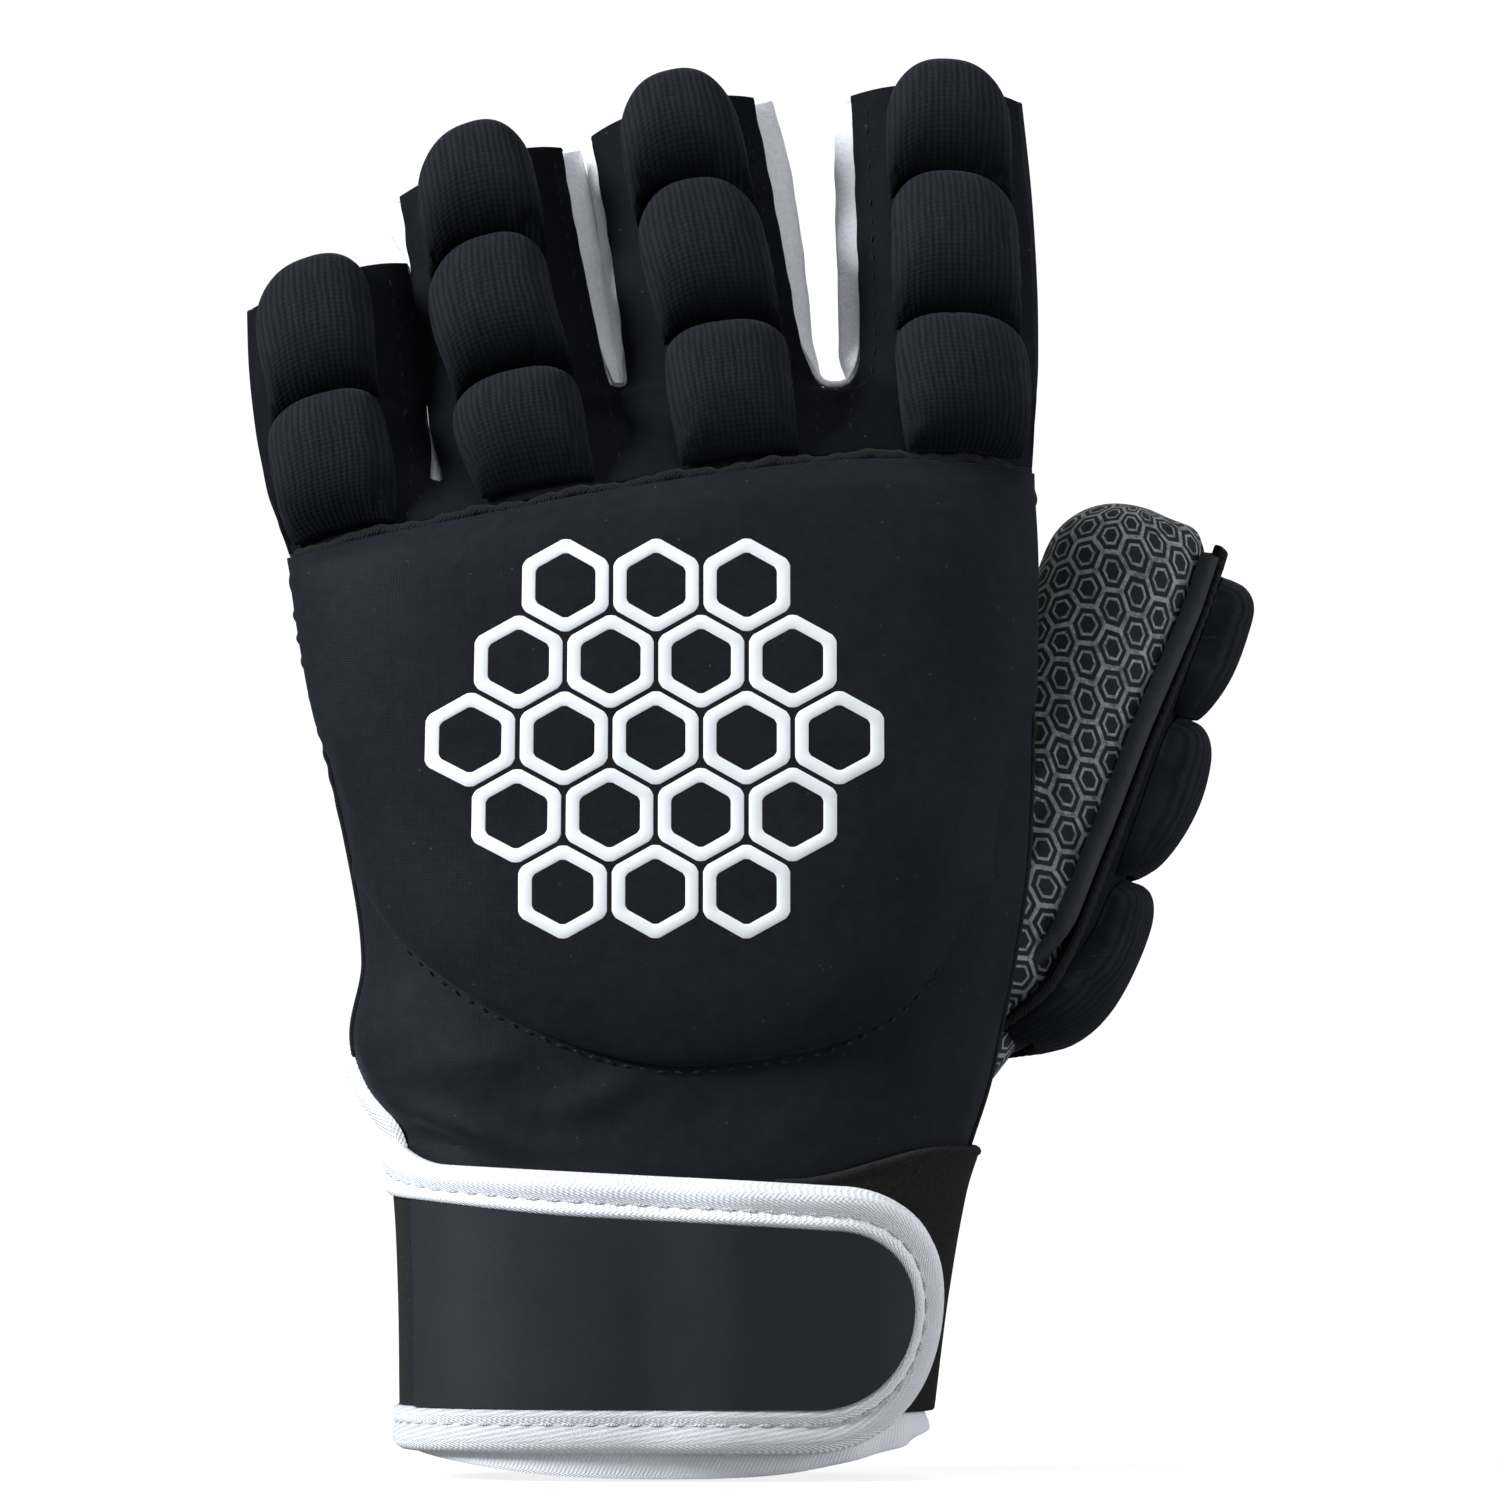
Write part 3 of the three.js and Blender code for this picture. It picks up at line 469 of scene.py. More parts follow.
def strap_edge(start, inset, step=1.5):
    """The strap's outline as s and z: along the top, round the end and back along the bottom."""
    share = np.clip(1 - inset / PATCH_INSET, 0, 1)

    def top(s):
        outer_climb = STRAP_CLIMB * share * smooth(-36, -55, s) * smooth(-74, -60, s)
        inner_climb = PATCH_CLIMB * (1 - share) * smooth(-14, -46, s)
        return STRAP["top"] + STRAP_SLOPE * s + outer_climb + inner_climb - inset

    turn_at = STRAP["end"] - STRAP["corner"]
    low = STRAP["bottom"] + inset
    long = np.linspace(start, turn_at, int((turn_at - start) / step))
    middle = (low + top(turn_at)) / 2
    angles = np.radians(np.linspace(90, -90, 41)[1:-1])
    s = np.concatenate([long, turn_at + (STRAP["corner"] - inset) * np.cos(angles), long[::-1]])
    cap = middle + (top(turn_at) - middle) * np.sin(angles)
    return s, np.concatenate([top(long), cap, np.full(len(long), low)])


def ripple(places, scale, seed, octaves=2):
    """Smooth seeded unevenness between about -1 and 1, with features of the given size."""
    random = np.random.default_rng(seed)
    total = np.zeros(places.shape[:-1])
    for octave in range(octaves):
        for _ in range(5):
            way = unit(random.normal(size=3)) * 2 * np.pi / (scale * random.uniform(0.7, 1.4))
            total += np.sin(places @ way * 2**octave + random.uniform(0, 6.3)) / 2**octave
    return total / 3.2


# Meshes. A part is its points, its four-sided faces and each corner's place on the cloth, in mm.
def grid_faces(rows, columns, around=False):
    index = np.arange(rows * columns).reshape(rows, columns)
    if around:
        index = np.concatenate([index, index[:, :1]], 1)
    return np.stack([index[:-1, :-1], index[:-1, 1:], index[1:, 1:], index[1:, :-1]], -1).reshape(-1, 4)


def lengths(grid, axis):
    """Distance run along an axis of a grid of points."""
    steps = np.linalg.norm(np.diff(grid, axis=axis), axis=-1)
    first = np.zeros_like(np.take(steps, [0], axis))
    return np.concatenate([first, np.cumsum(steps, axis)], axis)


def band(grid, cloth=None):
    """A grid of points, closed round in its second direction."""
    rows, columns = grid.shape[:2]
    if cloth is None:
        cloth = np.stack([lengths(grid, 1), lengths(grid, 0)], -1)
    faces = grid_faces(rows, columns, around=True)
    corners = cloth.reshape(-1, 2)[faces].reshape(rows - 1, columns, 4, 2)
    step = np.linalg.norm(grid[:, 0] - grid[:, -1], axis=-1)
    corners[:, -1, 1, 0] = corners[:, -1, 0, 0] + step[:-1]
    corners[:, -1, 2, 0] = corners[:, -1, 3, 0] + step[1:]
    return grid.reshape(-1, 3), faces, corners.reshape(-1, 4, 2)


def slab(outer, inner, cloth):
    """Two matching grids, the outer one first, closed all round their edge."""
    rows, columns = outer.shape[:2]
    count = rows * columns
    front = grid_faces(rows, columns)
    index = np.arange(count).reshape(rows, columns)
    ring = np.concatenate([index[0, :-1], index[:-1, -1], index[-1, :0:-1], index[:0:-1, 0]])
    after = np.roll(ring, -1)
    rim = np.stack([after, ring, ring + count, after + count], -1)
    faces = np.concatenate([front, front[:, ::-1] + count, rim])
    places = np.concatenate([outer.reshape(-1, 3), inner.reshape(-1, 3)])
    return places, faces, np.tile(cloth.reshape(-1, 2), (2, 1))[faces]


def without(part, hidden):
    """A part less the faces whose corners are all hidden."""
    places, faces, corners = part
    kept = ~hidden[faces].all(1)
    return places, faces[kept], corners[kept]


def span(length, step, lip):
    """Shares from 0 to 1, crowded at both ends so that a rounded edge has the points it needs."""
    ends = np.array([0, 0.12, 0.4, 0.75]) * lip
    inner = np.linspace(lip, length - lip, max(3, int(round(length / step))))
    return np.concatenate([ends, inner, length - ends[::-1]]) / length


def lipped(distance, radius):
    """How far a rounded edge has fallen away at a distance from it."""
    near = radius - np.minimum(distance, radius)
    return radius - np.sqrt(np.maximum(radius**2 - near**2, 0))


def cloth_wall(face, size, low, high, step, lip, wave=None):
    """A wall of cloth between two offsets of a face over u and v from 0 to 1, with rounded edges."""
    u, v = np.meshgrid(span(size[0], step, lip), span(size[1], step, lip))
    base = face(u, v)
    normal = normals(face, u, v)
    run_u, run_v = lengths(base, 1), lengths(base, 0)
    edge_u = np.minimum(run_u, run_u[:, -1:] - run_u)
    edge_v = np.minimum(run_v, run_v[-1:] - run_v)
    drop = lipped(np.minimum(edge_u, edge_v), lip)
    moved = 0 if wave is None else wave(u, v, base)
    outer = base + normal * (high - drop + moved)[..., None]
    inner = base + normal * (low + drop + moved)[..., None]
    return slab(outer, inner, np.stack([run_u - run_u[:, -1:] / 2, run_v], -1))


def swept(rows):
    """A closed profile swept along a path: rows run along the path, columns round the profile."""
    places, faces, corners = band(rows)
    count = rows.shape[1]
    caps = []
    for start, flip in ((0, True), (len(places) - count, False)):
        for k in range(count // 2 - 1):
            quad = [start + k, start + k + 1, start + count - 2 - k, start + count - 1 - k]
            caps.append(quad[::-1] if flip else quad)
    corners = np.concatenate([corners, np.zeros((len(caps), 4, 2))])
    return places, np.concatenate([faces, caps]), corners


def crosswise(path, normal):
    """The way across a path that lies on a surface."""
    return unit(np.cross(unit(np.gradient(path, axis=0)), normal))


def tube(path, normal, wide, high=None, sides=10):
    """A round or oval cord along a path, which lies on a surface with the given normals."""
    high = wide if high is None else high
    angle = np.linspace(0, 2 * np.pi, sides, endpoint=False)
    wide = np.broadcast_to(wide, len(path))[:, None, None]
    high = np.broadcast_to(high, len(path))[:, None, None]
    ring = crosswise(path, normal)[:, None] * (np.cos(angle)[None, :, None] * wide)
    ring = ring - normal[:, None] * (np.sin(angle)[None, :, None] * high)
    return swept(path[:, None] + ring)


STITCH_SWELL = np.array([0.0, 0.5, 0.85, 1.0, 0.85, 0.5, 0.0])
STITCH_LIFT = 0.05


def stitches(path, normal, length, pitch, thick, sway=0.0):
    """Short thread stitches along a path, turned to either side in turn if they sway."""
    run = lengths(path, 0)
    parts = []
    for k, start in enumerate(np.arange(pitch / 2, run[-1] - length, pitch)):
        at = start + np.linspace(0, 1, len(STITCH_SWELL)) * length
        spot = np.stack([np.interp(at, run, path[:, i]) for i in range(3)], 1)
        up = unit(np.stack([np.interp(at, run, normal[:, i]) for i in range(3)], 1))
        lean = np.linspace(-1, 1, len(STITCH_SWELL))[:, None] * sway * (1 if k % 2 else -1)
        rise = STITCH_LIFT + thick * 0.5 * (STITCH_SWELL - 1)[:, None]
        spot = spot + crosswise(spot, up) * lean + up * rise
        parts.append(tube(spot, up, thick * (0.25 + 0.75 * STITCH_SWELL), sides=6))
    return parts


def piece(name, parts, finish, stands_for=(), sharp=50):
    """One object from parts, in metres, which rides on the glove and may stand for nodes."""
    starts = np.cumsum([0, *[len(part[0]) for part in parts]])
    places = np.concatenate([part[0] for part in parts]) / 1000
    faces = np.concatenate([part[1] + start for part, start in zip(parts, starts)])
    corners = np.concatenate([part[2] for part in parts])
    mesh = bpy.data.meshes.new(name)
    mesh.vertices.add(len(places))
    mesh.vertices.foreach_set("co", places.ravel())
    mesh.loops.add(faces.size)
    mesh.loops.foreach_set("vertex_index", faces.ravel().astype(np.int32))
    mesh.polygons.add(len(faces))
    mesh.polygons.foreach_set("loop_start", np.arange(0, faces.size, 4, dtype=np.int32))
    mesh.polygons.foreach_set("loop_total", np.full(len(faces), 4, np.int32))
    layer = mesh.uv_layers.new(name="cloth")
    layer.uv.foreach_set("vector", corners.ravel().astype(np.float32))
    mesh.update(calc_edges=True)
    mesh.validate()
    mesh.polygons.foreach_set("use_smooth", np.ones(len(mesh.polygons), bool))
    mesh.set_sharp_from_angle(angle=np.radians(sharp))
    slot, material = finish
    mesh.materials.append(material)
    made = bpy.data.objects.new(name, mesh)
    bpy.context.scene.collection.objects.link(made)
    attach(made, "root")
    if stands_for:
        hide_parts(*stands_for)
    return made


# Materials.
class Look:
    """A material whose nodes are added by short calls. Numbers in its patterns are millimetres."""

    def __init__(self, name, roughness, specular=0.5, sheen=(0.0, 0.5), sheen_tint=(1, 1, 1)):
        self.material = bpy.data.materials.new(name)
        self.material.use_nodes = True
        self.tree = self.material.node_tree
        self.shader = self.tree.nodes["Principled BSDF"]
        sockets = self.shader.inputs
        sockets["Roughness"].default_value = roughness
        sockets["Specular IOR Level"].default_value = specular
        sockets["Sheen Weight"].default_value, sockets["Sheen Roughness"].default_value = sheen
        sockets["Sheen Tint"].default_value = (*sheen_tint, 1)
        self.cloth = self.add("ShaderNodeUVMap", uv_map="cloth").outputs["UV"]
        self.place = self.scaled(self.add("ShaderNodeTexCoord").outputs["Object"], (1000, 1000, 1000))

    def add(self, kind, inputs=None, **settings):
        node = self.tree.nodes.new(kind)
        for key, value in settings.items():
            setattr(node, key, value)
        for key, value in (inputs or {}).items():
            self.set(node.inputs[key], value)
        return node

    def set(self, socket, value):
        if isinstance(value, bpy.types.NodeSocket):
            self.tree.links.new(value, socket)
        else:
            socket.default_value = value

    def vector(self, operation, *inputs):
        return self.add("ShaderNodeVectorMath", dict(enumerate(inputs)), operation=operation).outputs[0]

    def scaled(self, vector, by):
        return self.vector("MULTIPLY", vector, by)

    def math(self, operation, *inputs):
        return self.add("ShaderNodeMath", dict(enumerate(inputs)), operation=operation).outputs[0]

    def times(self, a, b):
        return self.math("MULTIPLY", a, b)

    def total(self, *terms):
        """The sum of terms, each a value and its weight."""
        first, *others = [value if weight == 1 else self.times(value, weight) for value, weight in terms]
        for other in others:
            first = self.math("ADD", first, other)
        return first

    def split(self, vector):
        node = self.add("ShaderNodeSeparateXYZ", {0: vector})
        return node.outputs[0], node.outputs[1]

    def noise(self, vector, scale, detail=3.0, rough=0.55):
        inputs = {"Vector": vector, "Scale": scale, "Detail": detail, "Roughness": rough}
        return self.add("ShaderNodeTexNoise", inputs).outputs["Fac"]

    def span(self, value, low, high, to_low=0.0, to_high=1.0):
        inputs = {0: value, 1: low, 2: high, 3: to_low, 4: to_high}
        return self.add("ShaderNodeMapRange", inputs).outputs[0]

    def wave(self, value, pitch, low=0.0):
        """A sine of the given pitch, from low to low + 1."""
        sine = self.math("SINE", self.times(value, 2 * np.pi / pitch))
        return self.math("MULTIPLY_ADD", sine, 0.5, low + 0.5)

    def blend(self, factor, a, b):
        node = self.add("ShaderNodeMix", data_type="RGBA")
        for socket, value in ((node.inputs[0], factor), (node.inputs[6], a), (node.inputs[7], b)):
            self.set(socket, (*value, 1) if isinstance(value, tuple) else value)
        return node.outputs[2]

    def bump(self, height, distance):
        inputs = {"Height": height, "Distance": distance / 1000}
        return self.add("ShaderNodeBump", inputs).outputs["Normal"]

    def finish(self, colour, normal, roughness=None):
        self.set(self.shader.inputs["Base Color"], colour)
        self.set(self.shader.inputs["Normal"], normal)
        if roughness is not None:
            self.set(self.shader.inputs["Roughness"], roughness)
        return self.material


def shaded(tint, by):
    return tuple(channel * by for channel in tint)


def knit_look():
    """Ribbed knit with finer rows across its ribs, with painted shade that darkens it towards a block's
    lower end.
    """
    look = Look("rib_knit", 0.86, 0.05, (0.03, 0.5), (0.6, 0.7, 0.9))
    x, y = look.split(look.cloth)
    ribs = look.wave(look.total((x, 1), (look.noise(look.cloth, 0.2), 0.9)), 0.85, 0.5)
    rows = look.wave(y, 0.6, 0.5)
    streaks = look.noise(look.scaled(look.cloth, (1.1, 0.14, 1)), 1.0)
    height = look.total((ribs, 1), (rows, 0.5), (look.noise(look.place, 3.2), 0.5))
    shade = look.times(look.times(ribs, look.span(rows, 0, 1, 0.6, 1)), streaks)
    colour = look.blend(look.span(shade, 0.05, 0.62), (0.0048, 0.0052, 0.0068), (0.0142, 0.0152, 0.0192))
    # Painted highlight: sparse light specks along the ribs stand in for glints off the knit loops.
    lit = look.noise(look.scaled(look.cloth, (3.4, 1.5, 1)), 1.0, 2.0)
    colour = look.blend(look.span(lit, 0.64, 0.80, 0, 0.6), colour, (0.050, 0.054, 0.064))
    # Painted shade: over the lowest 9 mm of each block the colour is blended towards near black.
    colour = look.blend(look.span(y, 0.5, 9.0), (0.0032, 0.0034, 0.0044), colour)
    return look.finish(colour, look.bump(height, 0.065), look.span(streaks, 0, 1, 0.95, 0.72))


def jersey_look(name, tint, spread=1.0, gloss=1.0):
    """Smooth laminated stretch fabric with a faint fine weave and a little lint."""
    look = Look(name, 0.62, 0.08 * gloss, (0.05 * gloss, 0.4), (0.55, 0.68, 1.0))
    x, y = look.split(look.cloth)
    weave = look.times(look.wave(x, 0.42), look.wave(y, 0.36))
    fine = look.noise(look.place, 2.6, 4.0, 0.65)
    broad = look.noise(look.place, 0.045)
    patchy = look.noise(look.place, 0.5, 4.0, 0.7)
    mixed = look.total((fine, 0.3), (broad, 0.35), (patchy, 0.35))
    colour = look.blend(look.span(mixed, 0.38, 0.62), shaded(tint, 0.72), shaded(tint, 1 + 0.55 * spread))
    cells = look.add("ShaderNodeTexVoronoi", {"Vector": look.place, "Scale": 0.3})
    lint = look.math("LESS_THAN", cells.outputs["Distance"], 0.045)
    colour = look.blend(look.times(lint, 0.35), colour, (0.10, 0.11, 0.13))
    height = look.total((weave, 0.7), (fine, 1.2))
    return look.finish(colour, look.bump(height, 0.05), look.span(fine, 0.3, 0.7, 0.56, 0.74))


def twill_look(name, tint, pitch, relief):
    """Twill tape: fine slanting ribs, with threads crossing them."""
    look = Look(name, 0.85, 0.2, (0.08, 0.5))
    x, y = look.split(look.cloth)
    slant = look.wave(look.total((x, 1), (y, 0.9)), pitch, 0.5)
    cross = look.wave(look.total((x, 1), (y, -0.8)), pitch * 0.7, 0.5)
    height = look.total((slant, 1), (cross, 0.4), (look.noise(look.place, 1.6, 4.0, 0.6), 0.5))
    worn = look.total((height, 0.42), (look.noise(look.place, 0.12, 2.0), 0.35))
    colour = look.blend(look.span(worn, 0.15, 0.95), shaded(tint, 0.78), tint)
    return look.finish(colour, look.bump(height, relief))


def fleece_look():
    """Thin brushed white stretch fabric."""
    look = Look("white_side_wall", 0.9, sheen=(0.08, 0.6))
    fuzz = look.noise(look.place, 1.3, 5.0, 0.7)
    broad = look.noise(look.place, 0.15, 2.0)
    colour = look.blend(look.span(fuzz, 0.3, 0.7), (0.72, 0.74, 0.78), (0.90, 0.91, 0.94))
    colour = look.blend(look.span(broad, 0.3, 0.8, 0, 0.3), colour, (0.68, 0.70, 0.74))
    return look.finish(colour, look.bump(fuzz, 0.25))


def rubber_look():
    """Smooth satin rubber with a faint grain."""
    look = Look("patch_rubber", 0.5, 0.15)
    grain = look.noise(look.place, 1.1, 4.0)
    broad = look.noise(look.place, 0.05)
    mixed = look.span(look.total((grain, 0.3), (broad, 0.7)), 0.35, 0.65)
    colour = look.blend(mixed, (0.0126, 0.0146, 0.0198), (0.0172, 0.0197, 0.0258))
    return look.finish(colour, look.bump(grain, 0.02), look.span(broad, 0.3, 0.7, 0.46, 0.58))


def loop_look():
    """Brushed loop pile, a mat of tiny curls."""
    look = Look("loop_pile", 1.0, 0.05, (0.04, 0.7))
    curls = look.noise(look.place, 1.9, 5.0, 0.75)
    broad = look.noise(look.place, 0.2)
    colour = look.blend(look.span(curls, 0.35, 0.72), (0.0030, 0.0030, 0.0032), (0.0230, 0.0225, 0.0220))
    colour = look.blend(look.span(broad, 0.35, 0.75, 0, 0.4), colour, (0.012, 0.012, 0.012))
    return look.finish(colour, look.bump(curls, 0.5))


def printed_look():
    """Dark suede with a grey grip print: a lattice of six-sided cells with a small ring in each."""
    look = Look("printed_palm", 0.78, 0.2, (0.03, 0.5))
    tile = (5.2, 5.2 * 3**0.5, 1.0)
    half = shaded(tile, 0.5)
    moved = look.vector("ADD", look.cloth, look.noise(look.cloth, 0.12, 2.0))

    def cell(shift):
        part = look.scaled(look.vector("ADD", moved, shift), tuple(1 / side for side in tile))
        centred = look.vector("SUBTRACT", look.scaled(look.vector("FRACTION", part), tile), half)
        return look.scaled(centred, (1, 1, 0))

    def length(vector):
        return look.add("ShaderNodeVectorMath", {0: vector}, operation="LENGTH").outputs["Value"]

    a, b = cell((0, 0, 0)), cell(half)
    nearer = look.math("LESS_THAN", length(a), length(b))
    chosen = look.add("ShaderNodeMix", data_type="VECTOR")
    for socket, value in ((chosen.inputs[0], nearer), (chosen.inputs[4], b), (chosen.inputs[5], a)):
        look.set(socket, value)
    x, y = look.split(look.vector("ABSOLUTE", chosen.outputs[1]))
    reach = look.math("MAXIMUM", x, look.total((x, 0.5), (y, 0.8660254)))
    outline = look.span(reach, half[0] - 0.42, half[0] - 0.26)
    ring = look.span(look.math("ABSOLUTE", look.math("SUBTRACT", reach, 1.35)), 0.26, 0.12)
    worn = look.span(look.noise(look.place, 0.6, 5.0, 0.75), 0.36, 0.56, 0.3, 1.0)
    printed = look.times(look.math("MAXIMUM", outline, ring), worn)
    suede = look.noise(look.place, 2.2, 4.0, 0.7)
    grain = look.span(suede, 0.3, 0.7)
    base = look.blend(grain, (0.0090, 0.0092, 0.0102), (0.0190, 0.0192, 0.0210))
    ink = look.blend(grain, (0.170, 0.184, 0.192), (0.340, 0.360, 0.368))
    bump = look.bump(look.total((suede, 0.8), (printed, 1)), 0.07)
    return look.finish(look.blend(printed, base, ink), bump, look.span(printed, 0, 1, 0.85, 0.5))


def ink_look():
    """A screen print in white ink, slightly worn."""
    look = Look("white_print", 0.55)
    fine = look.noise(look.place, 1.4, 4.0, 0.65)
    broad = look.noise(look.place, 0.10)
    colour = look.blend(look.span(broad, 0.3, 0.7), (0.74, 0.76, 0.80), (0.86, 0.87, 0.90))
    colour = look.blend(look.span(fine, 0.64, 0.78, 0, 0.16), colour, (0.35, 0.35, 0.36))
    return look.finish(colour, look.bump(fine, 0.03), look.span(fine, 0.3, 0.7, 0.5, 0.66))


def thread_look(name, tint):
    """Twisted sewing thread."""
    look = Look(name, 0.8, 0.15, (0.05, 0.5))
    x, y = look.split(look.cloth)
    twist = look.wave(look.total((y, 1), (x, 0.6)), 0.55, 0.5)
    fuzz = look.span(look.noise(look.place, 2.4), 0.2, 0.8, 0.5, 1)
    colour = look.blend(look.times(twist, fuzz), shaded(tint, 0.55), tint)
    return look.finish(colour, look.bump(twist, 0.08))


# Finishes: the record's slot and the material that is seen.
KNIT = "rib_knit", knit_look()
STRIP = "black_fabric", jersey_look("strip_fabric", (0.0048, 0.0051, 0.0066), 0.9, 0.5)
PIPING = "black_fabric", jersey_look("piping_fabric", (0.0270, 0.0283, 0.0325), 0.5, 1.6)
JERSEY = "black_fabric", jersey_look("back_fabric", (0.0076, 0.0082, 0.0112))
FLEECE = "white_side_wall", fleece_look()
TWILL = "white_binding", twill_look("white_twill", (0.93, 0.95, 1.0), 0.95, 0.13)
HEM_TWILL = "white_binding", twill_look("hem_twill", (0.93, 0.95, 1.0), 0.62, 0.05)
RUBBER = "patch_rubber", rubber_look()
LOOP = "loop_pile", loop_look()
PRINTED = "printed_palm", printed_look()
INK = "white_binding", ink_look()
THREAD = "black_fabric", thread_look("black_thread", (0.0068, 0.0071, 0.0086))
SEAM_THREAD = "black_fabric", thread_look("seam_thread", (0.016, 0.017, 0.020))
WHITE_THREAD = "white_binding", thread_look("white_thread", (0.62, 0.63, 0.66))


# Finger backs: four strips sewn to the hand along the knuckle seam, with raw cut ends.
STRIP_LAP = 0.014


def joined(t, crotch):
    """1 below a crotch, more just under it, and 0 above it."""
    lap = np.where(t < crotch + 0.016, 1 + 1.6 * smooth(crotch - 0.06, crotch, t), 0.0)
    return lap if crotch > 0 else 0 * t


def strip_part(name):
    crotch_left, crotch_right = CROTCH[name]

    def face(u, v):
        t = mix(0.012, 1, v)
        left = -STRIP_LAP * joined(t, crotch_left)
        right = 1 + STRIP_LAP * joined(t, crotch_right)
        return finger_point(name, mix(left, right, u), -1, t)

    def wave(u, v, base):
        return 0.22 * np.abs(2 * u - 1) ** 6 * ripple(base, 9, 11) * smooth(0.05, 0.4, v)

    return cloth_wall(face, (25, 48), -SHELL, 0, 0.6, 0.35, wave)


piece("finger_backs", [strip_part(name) for name in NAMES], STRIP, ["finger_panel"])


# Foam blocks: each one's rounded top edge stands in front of the end of the block above it.
CORNER = 3.2
SIDE_CROWN = 3.0
PEAK = 0.68
UPRIGHT = 0.72
BLOCK_COLUMNS, BLOCK_ROWS = 37, 33


def pad_part(face, sides, ends, arches, tall, rise, seat, seed, low_end=0.0):
    """A block on a face, between two shares up it. Sides gives u at each share up and across it."""
    a = np.sin(np.pi / 2 * np.linspace(-1, 1, BLOCK_COLUMNS))
    b = (1 - np.cos(np.pi * np.linspace(0, 1, BLOCK_ROWS))) / 2
    a, b = np.meshgrid(a, b)
    rounding = 1 - (1 - np.abs(a) ** 4) ** (1 / 4)
    low = ends[0] - arches[0] / tall * np.abs(a) ** 2.6
    high = ends[1] - (arches[1] * np.abs(a) ** 2.6 + CORNER * rounding) / tall
    t = mix(low, high, b)
    u = sides(t, (1 + a * (1 - 0.03 * (2 * b - 1) ** 4)) / 2)
    above_peak, below_peak = (b - PEAK) / (1 - PEAK), (PEAK - b) / PEAK
    top_side = (1 - np.clip(above_peak, 0, 1) ** 2.6) ** (1 / 2.6)
    low_side = mix(low_end, 1, (1 - np.clip(below_peak, 0, 1) ** 2.1) ** 0.78)
    crown = np.minimum(top_side, low_side) * (1 - np.abs(a) ** SIDE_CROWN) ** (1 / SIDE_CROWN)
    base = face(u, t)
    middle = np.broadcast_to(sides(t, 0.5), t.shape)
    powers = np.stack([np.ones_like(a), a, b, a * a, a * b, b * b, a * a * b, a * b * b], -1)

    def eased(values):
        fit = np.linalg.lstsq(powers.reshape(-1, powers.shape[-1]), values.reshape(-1, 3), rcond=None)[0]
        return powers @ fit

    normal = unit(eased(mix(normals(face, u, t), normals(face, middle, t), UPRIGHT)))
    cover = smooth(0.0, 0.75, crown)[..., None] * np.array([0, 1, 0])
    lifted = mix(base, eased(base), cover)
    above = seat + PAD_RIM + (rise - PAD_RIM) * crown * (1 + 0.025 * ripple(base, 14, seed))
    row = len(base) // 2
    width = np.linalg.norm(base[row, -1] - base[row, 0])
    cloth = np.stack([a * width / 2, b * (ends[1] - ends[0]) * tall], -1)
    return slab(lifted + normal * above[..., None], base + normal * seat, cloth)


def finger_pads():
    for name in NAMES:
        data, ends, arches = FINGERS[name], PAD_ENDS[name], PAD_ARCHES[name]
        tall = data["zL"][-1] - data["zL"][0]

        def face(u, t, name=name):
            return finger_point(name, u, -1, t)

        def sides(t, w, name=name):
            left, right = both(FINGERS[name], t, "xL xR")
            return (mix(*both(PAD_SIDES[name], t), w) - left) / (right - left)

        for k in range(len(ends) - 1):
            block_ends = (ends[k] + 0.006, ends[k + 1])
            seat = PAD_SEAT_LOW if k == 0 else PAD_SEAT
            part = pad_part(face, sides, block_ends, arches[k : k + 2], tall, PAD_RISE[name], seat, 20 + k)
            yield f"{name}_pad_{k + 1}", part


def thumb_pads():
    steps, half, tall = THUMB_PADS["steps"], THUMB_PADS["half"], THUMB_PADS["tall"]

    def face(u, t):
        return thumb_strip_point(mix(-half - 16 * smooth(0.36, 0.18, t), half, u), t)

    def sides(t, w):
        return w

    for k, rise in enumerate(THUMB_PADS["rise"]):
        block_ends = (steps[k] + 0.008, steps[k + 1])
        arches, low_end = ((1.5, 4.0), 0.34) if k == 2 else ((1.5, 2.0), 0.0)
        seat = THUMB_STRIP_TOP + PAD_SEAT
        part = pad_part(face, sides, block_ends, arches, tall, rise, seat, 40 + k, low_end)
        yield f"thumb_pad_{k + 1}", part


SWELL = {"scale": 20, "frames": 14, "pressure": 4, "slack": -0.02, "cap": 0.5}


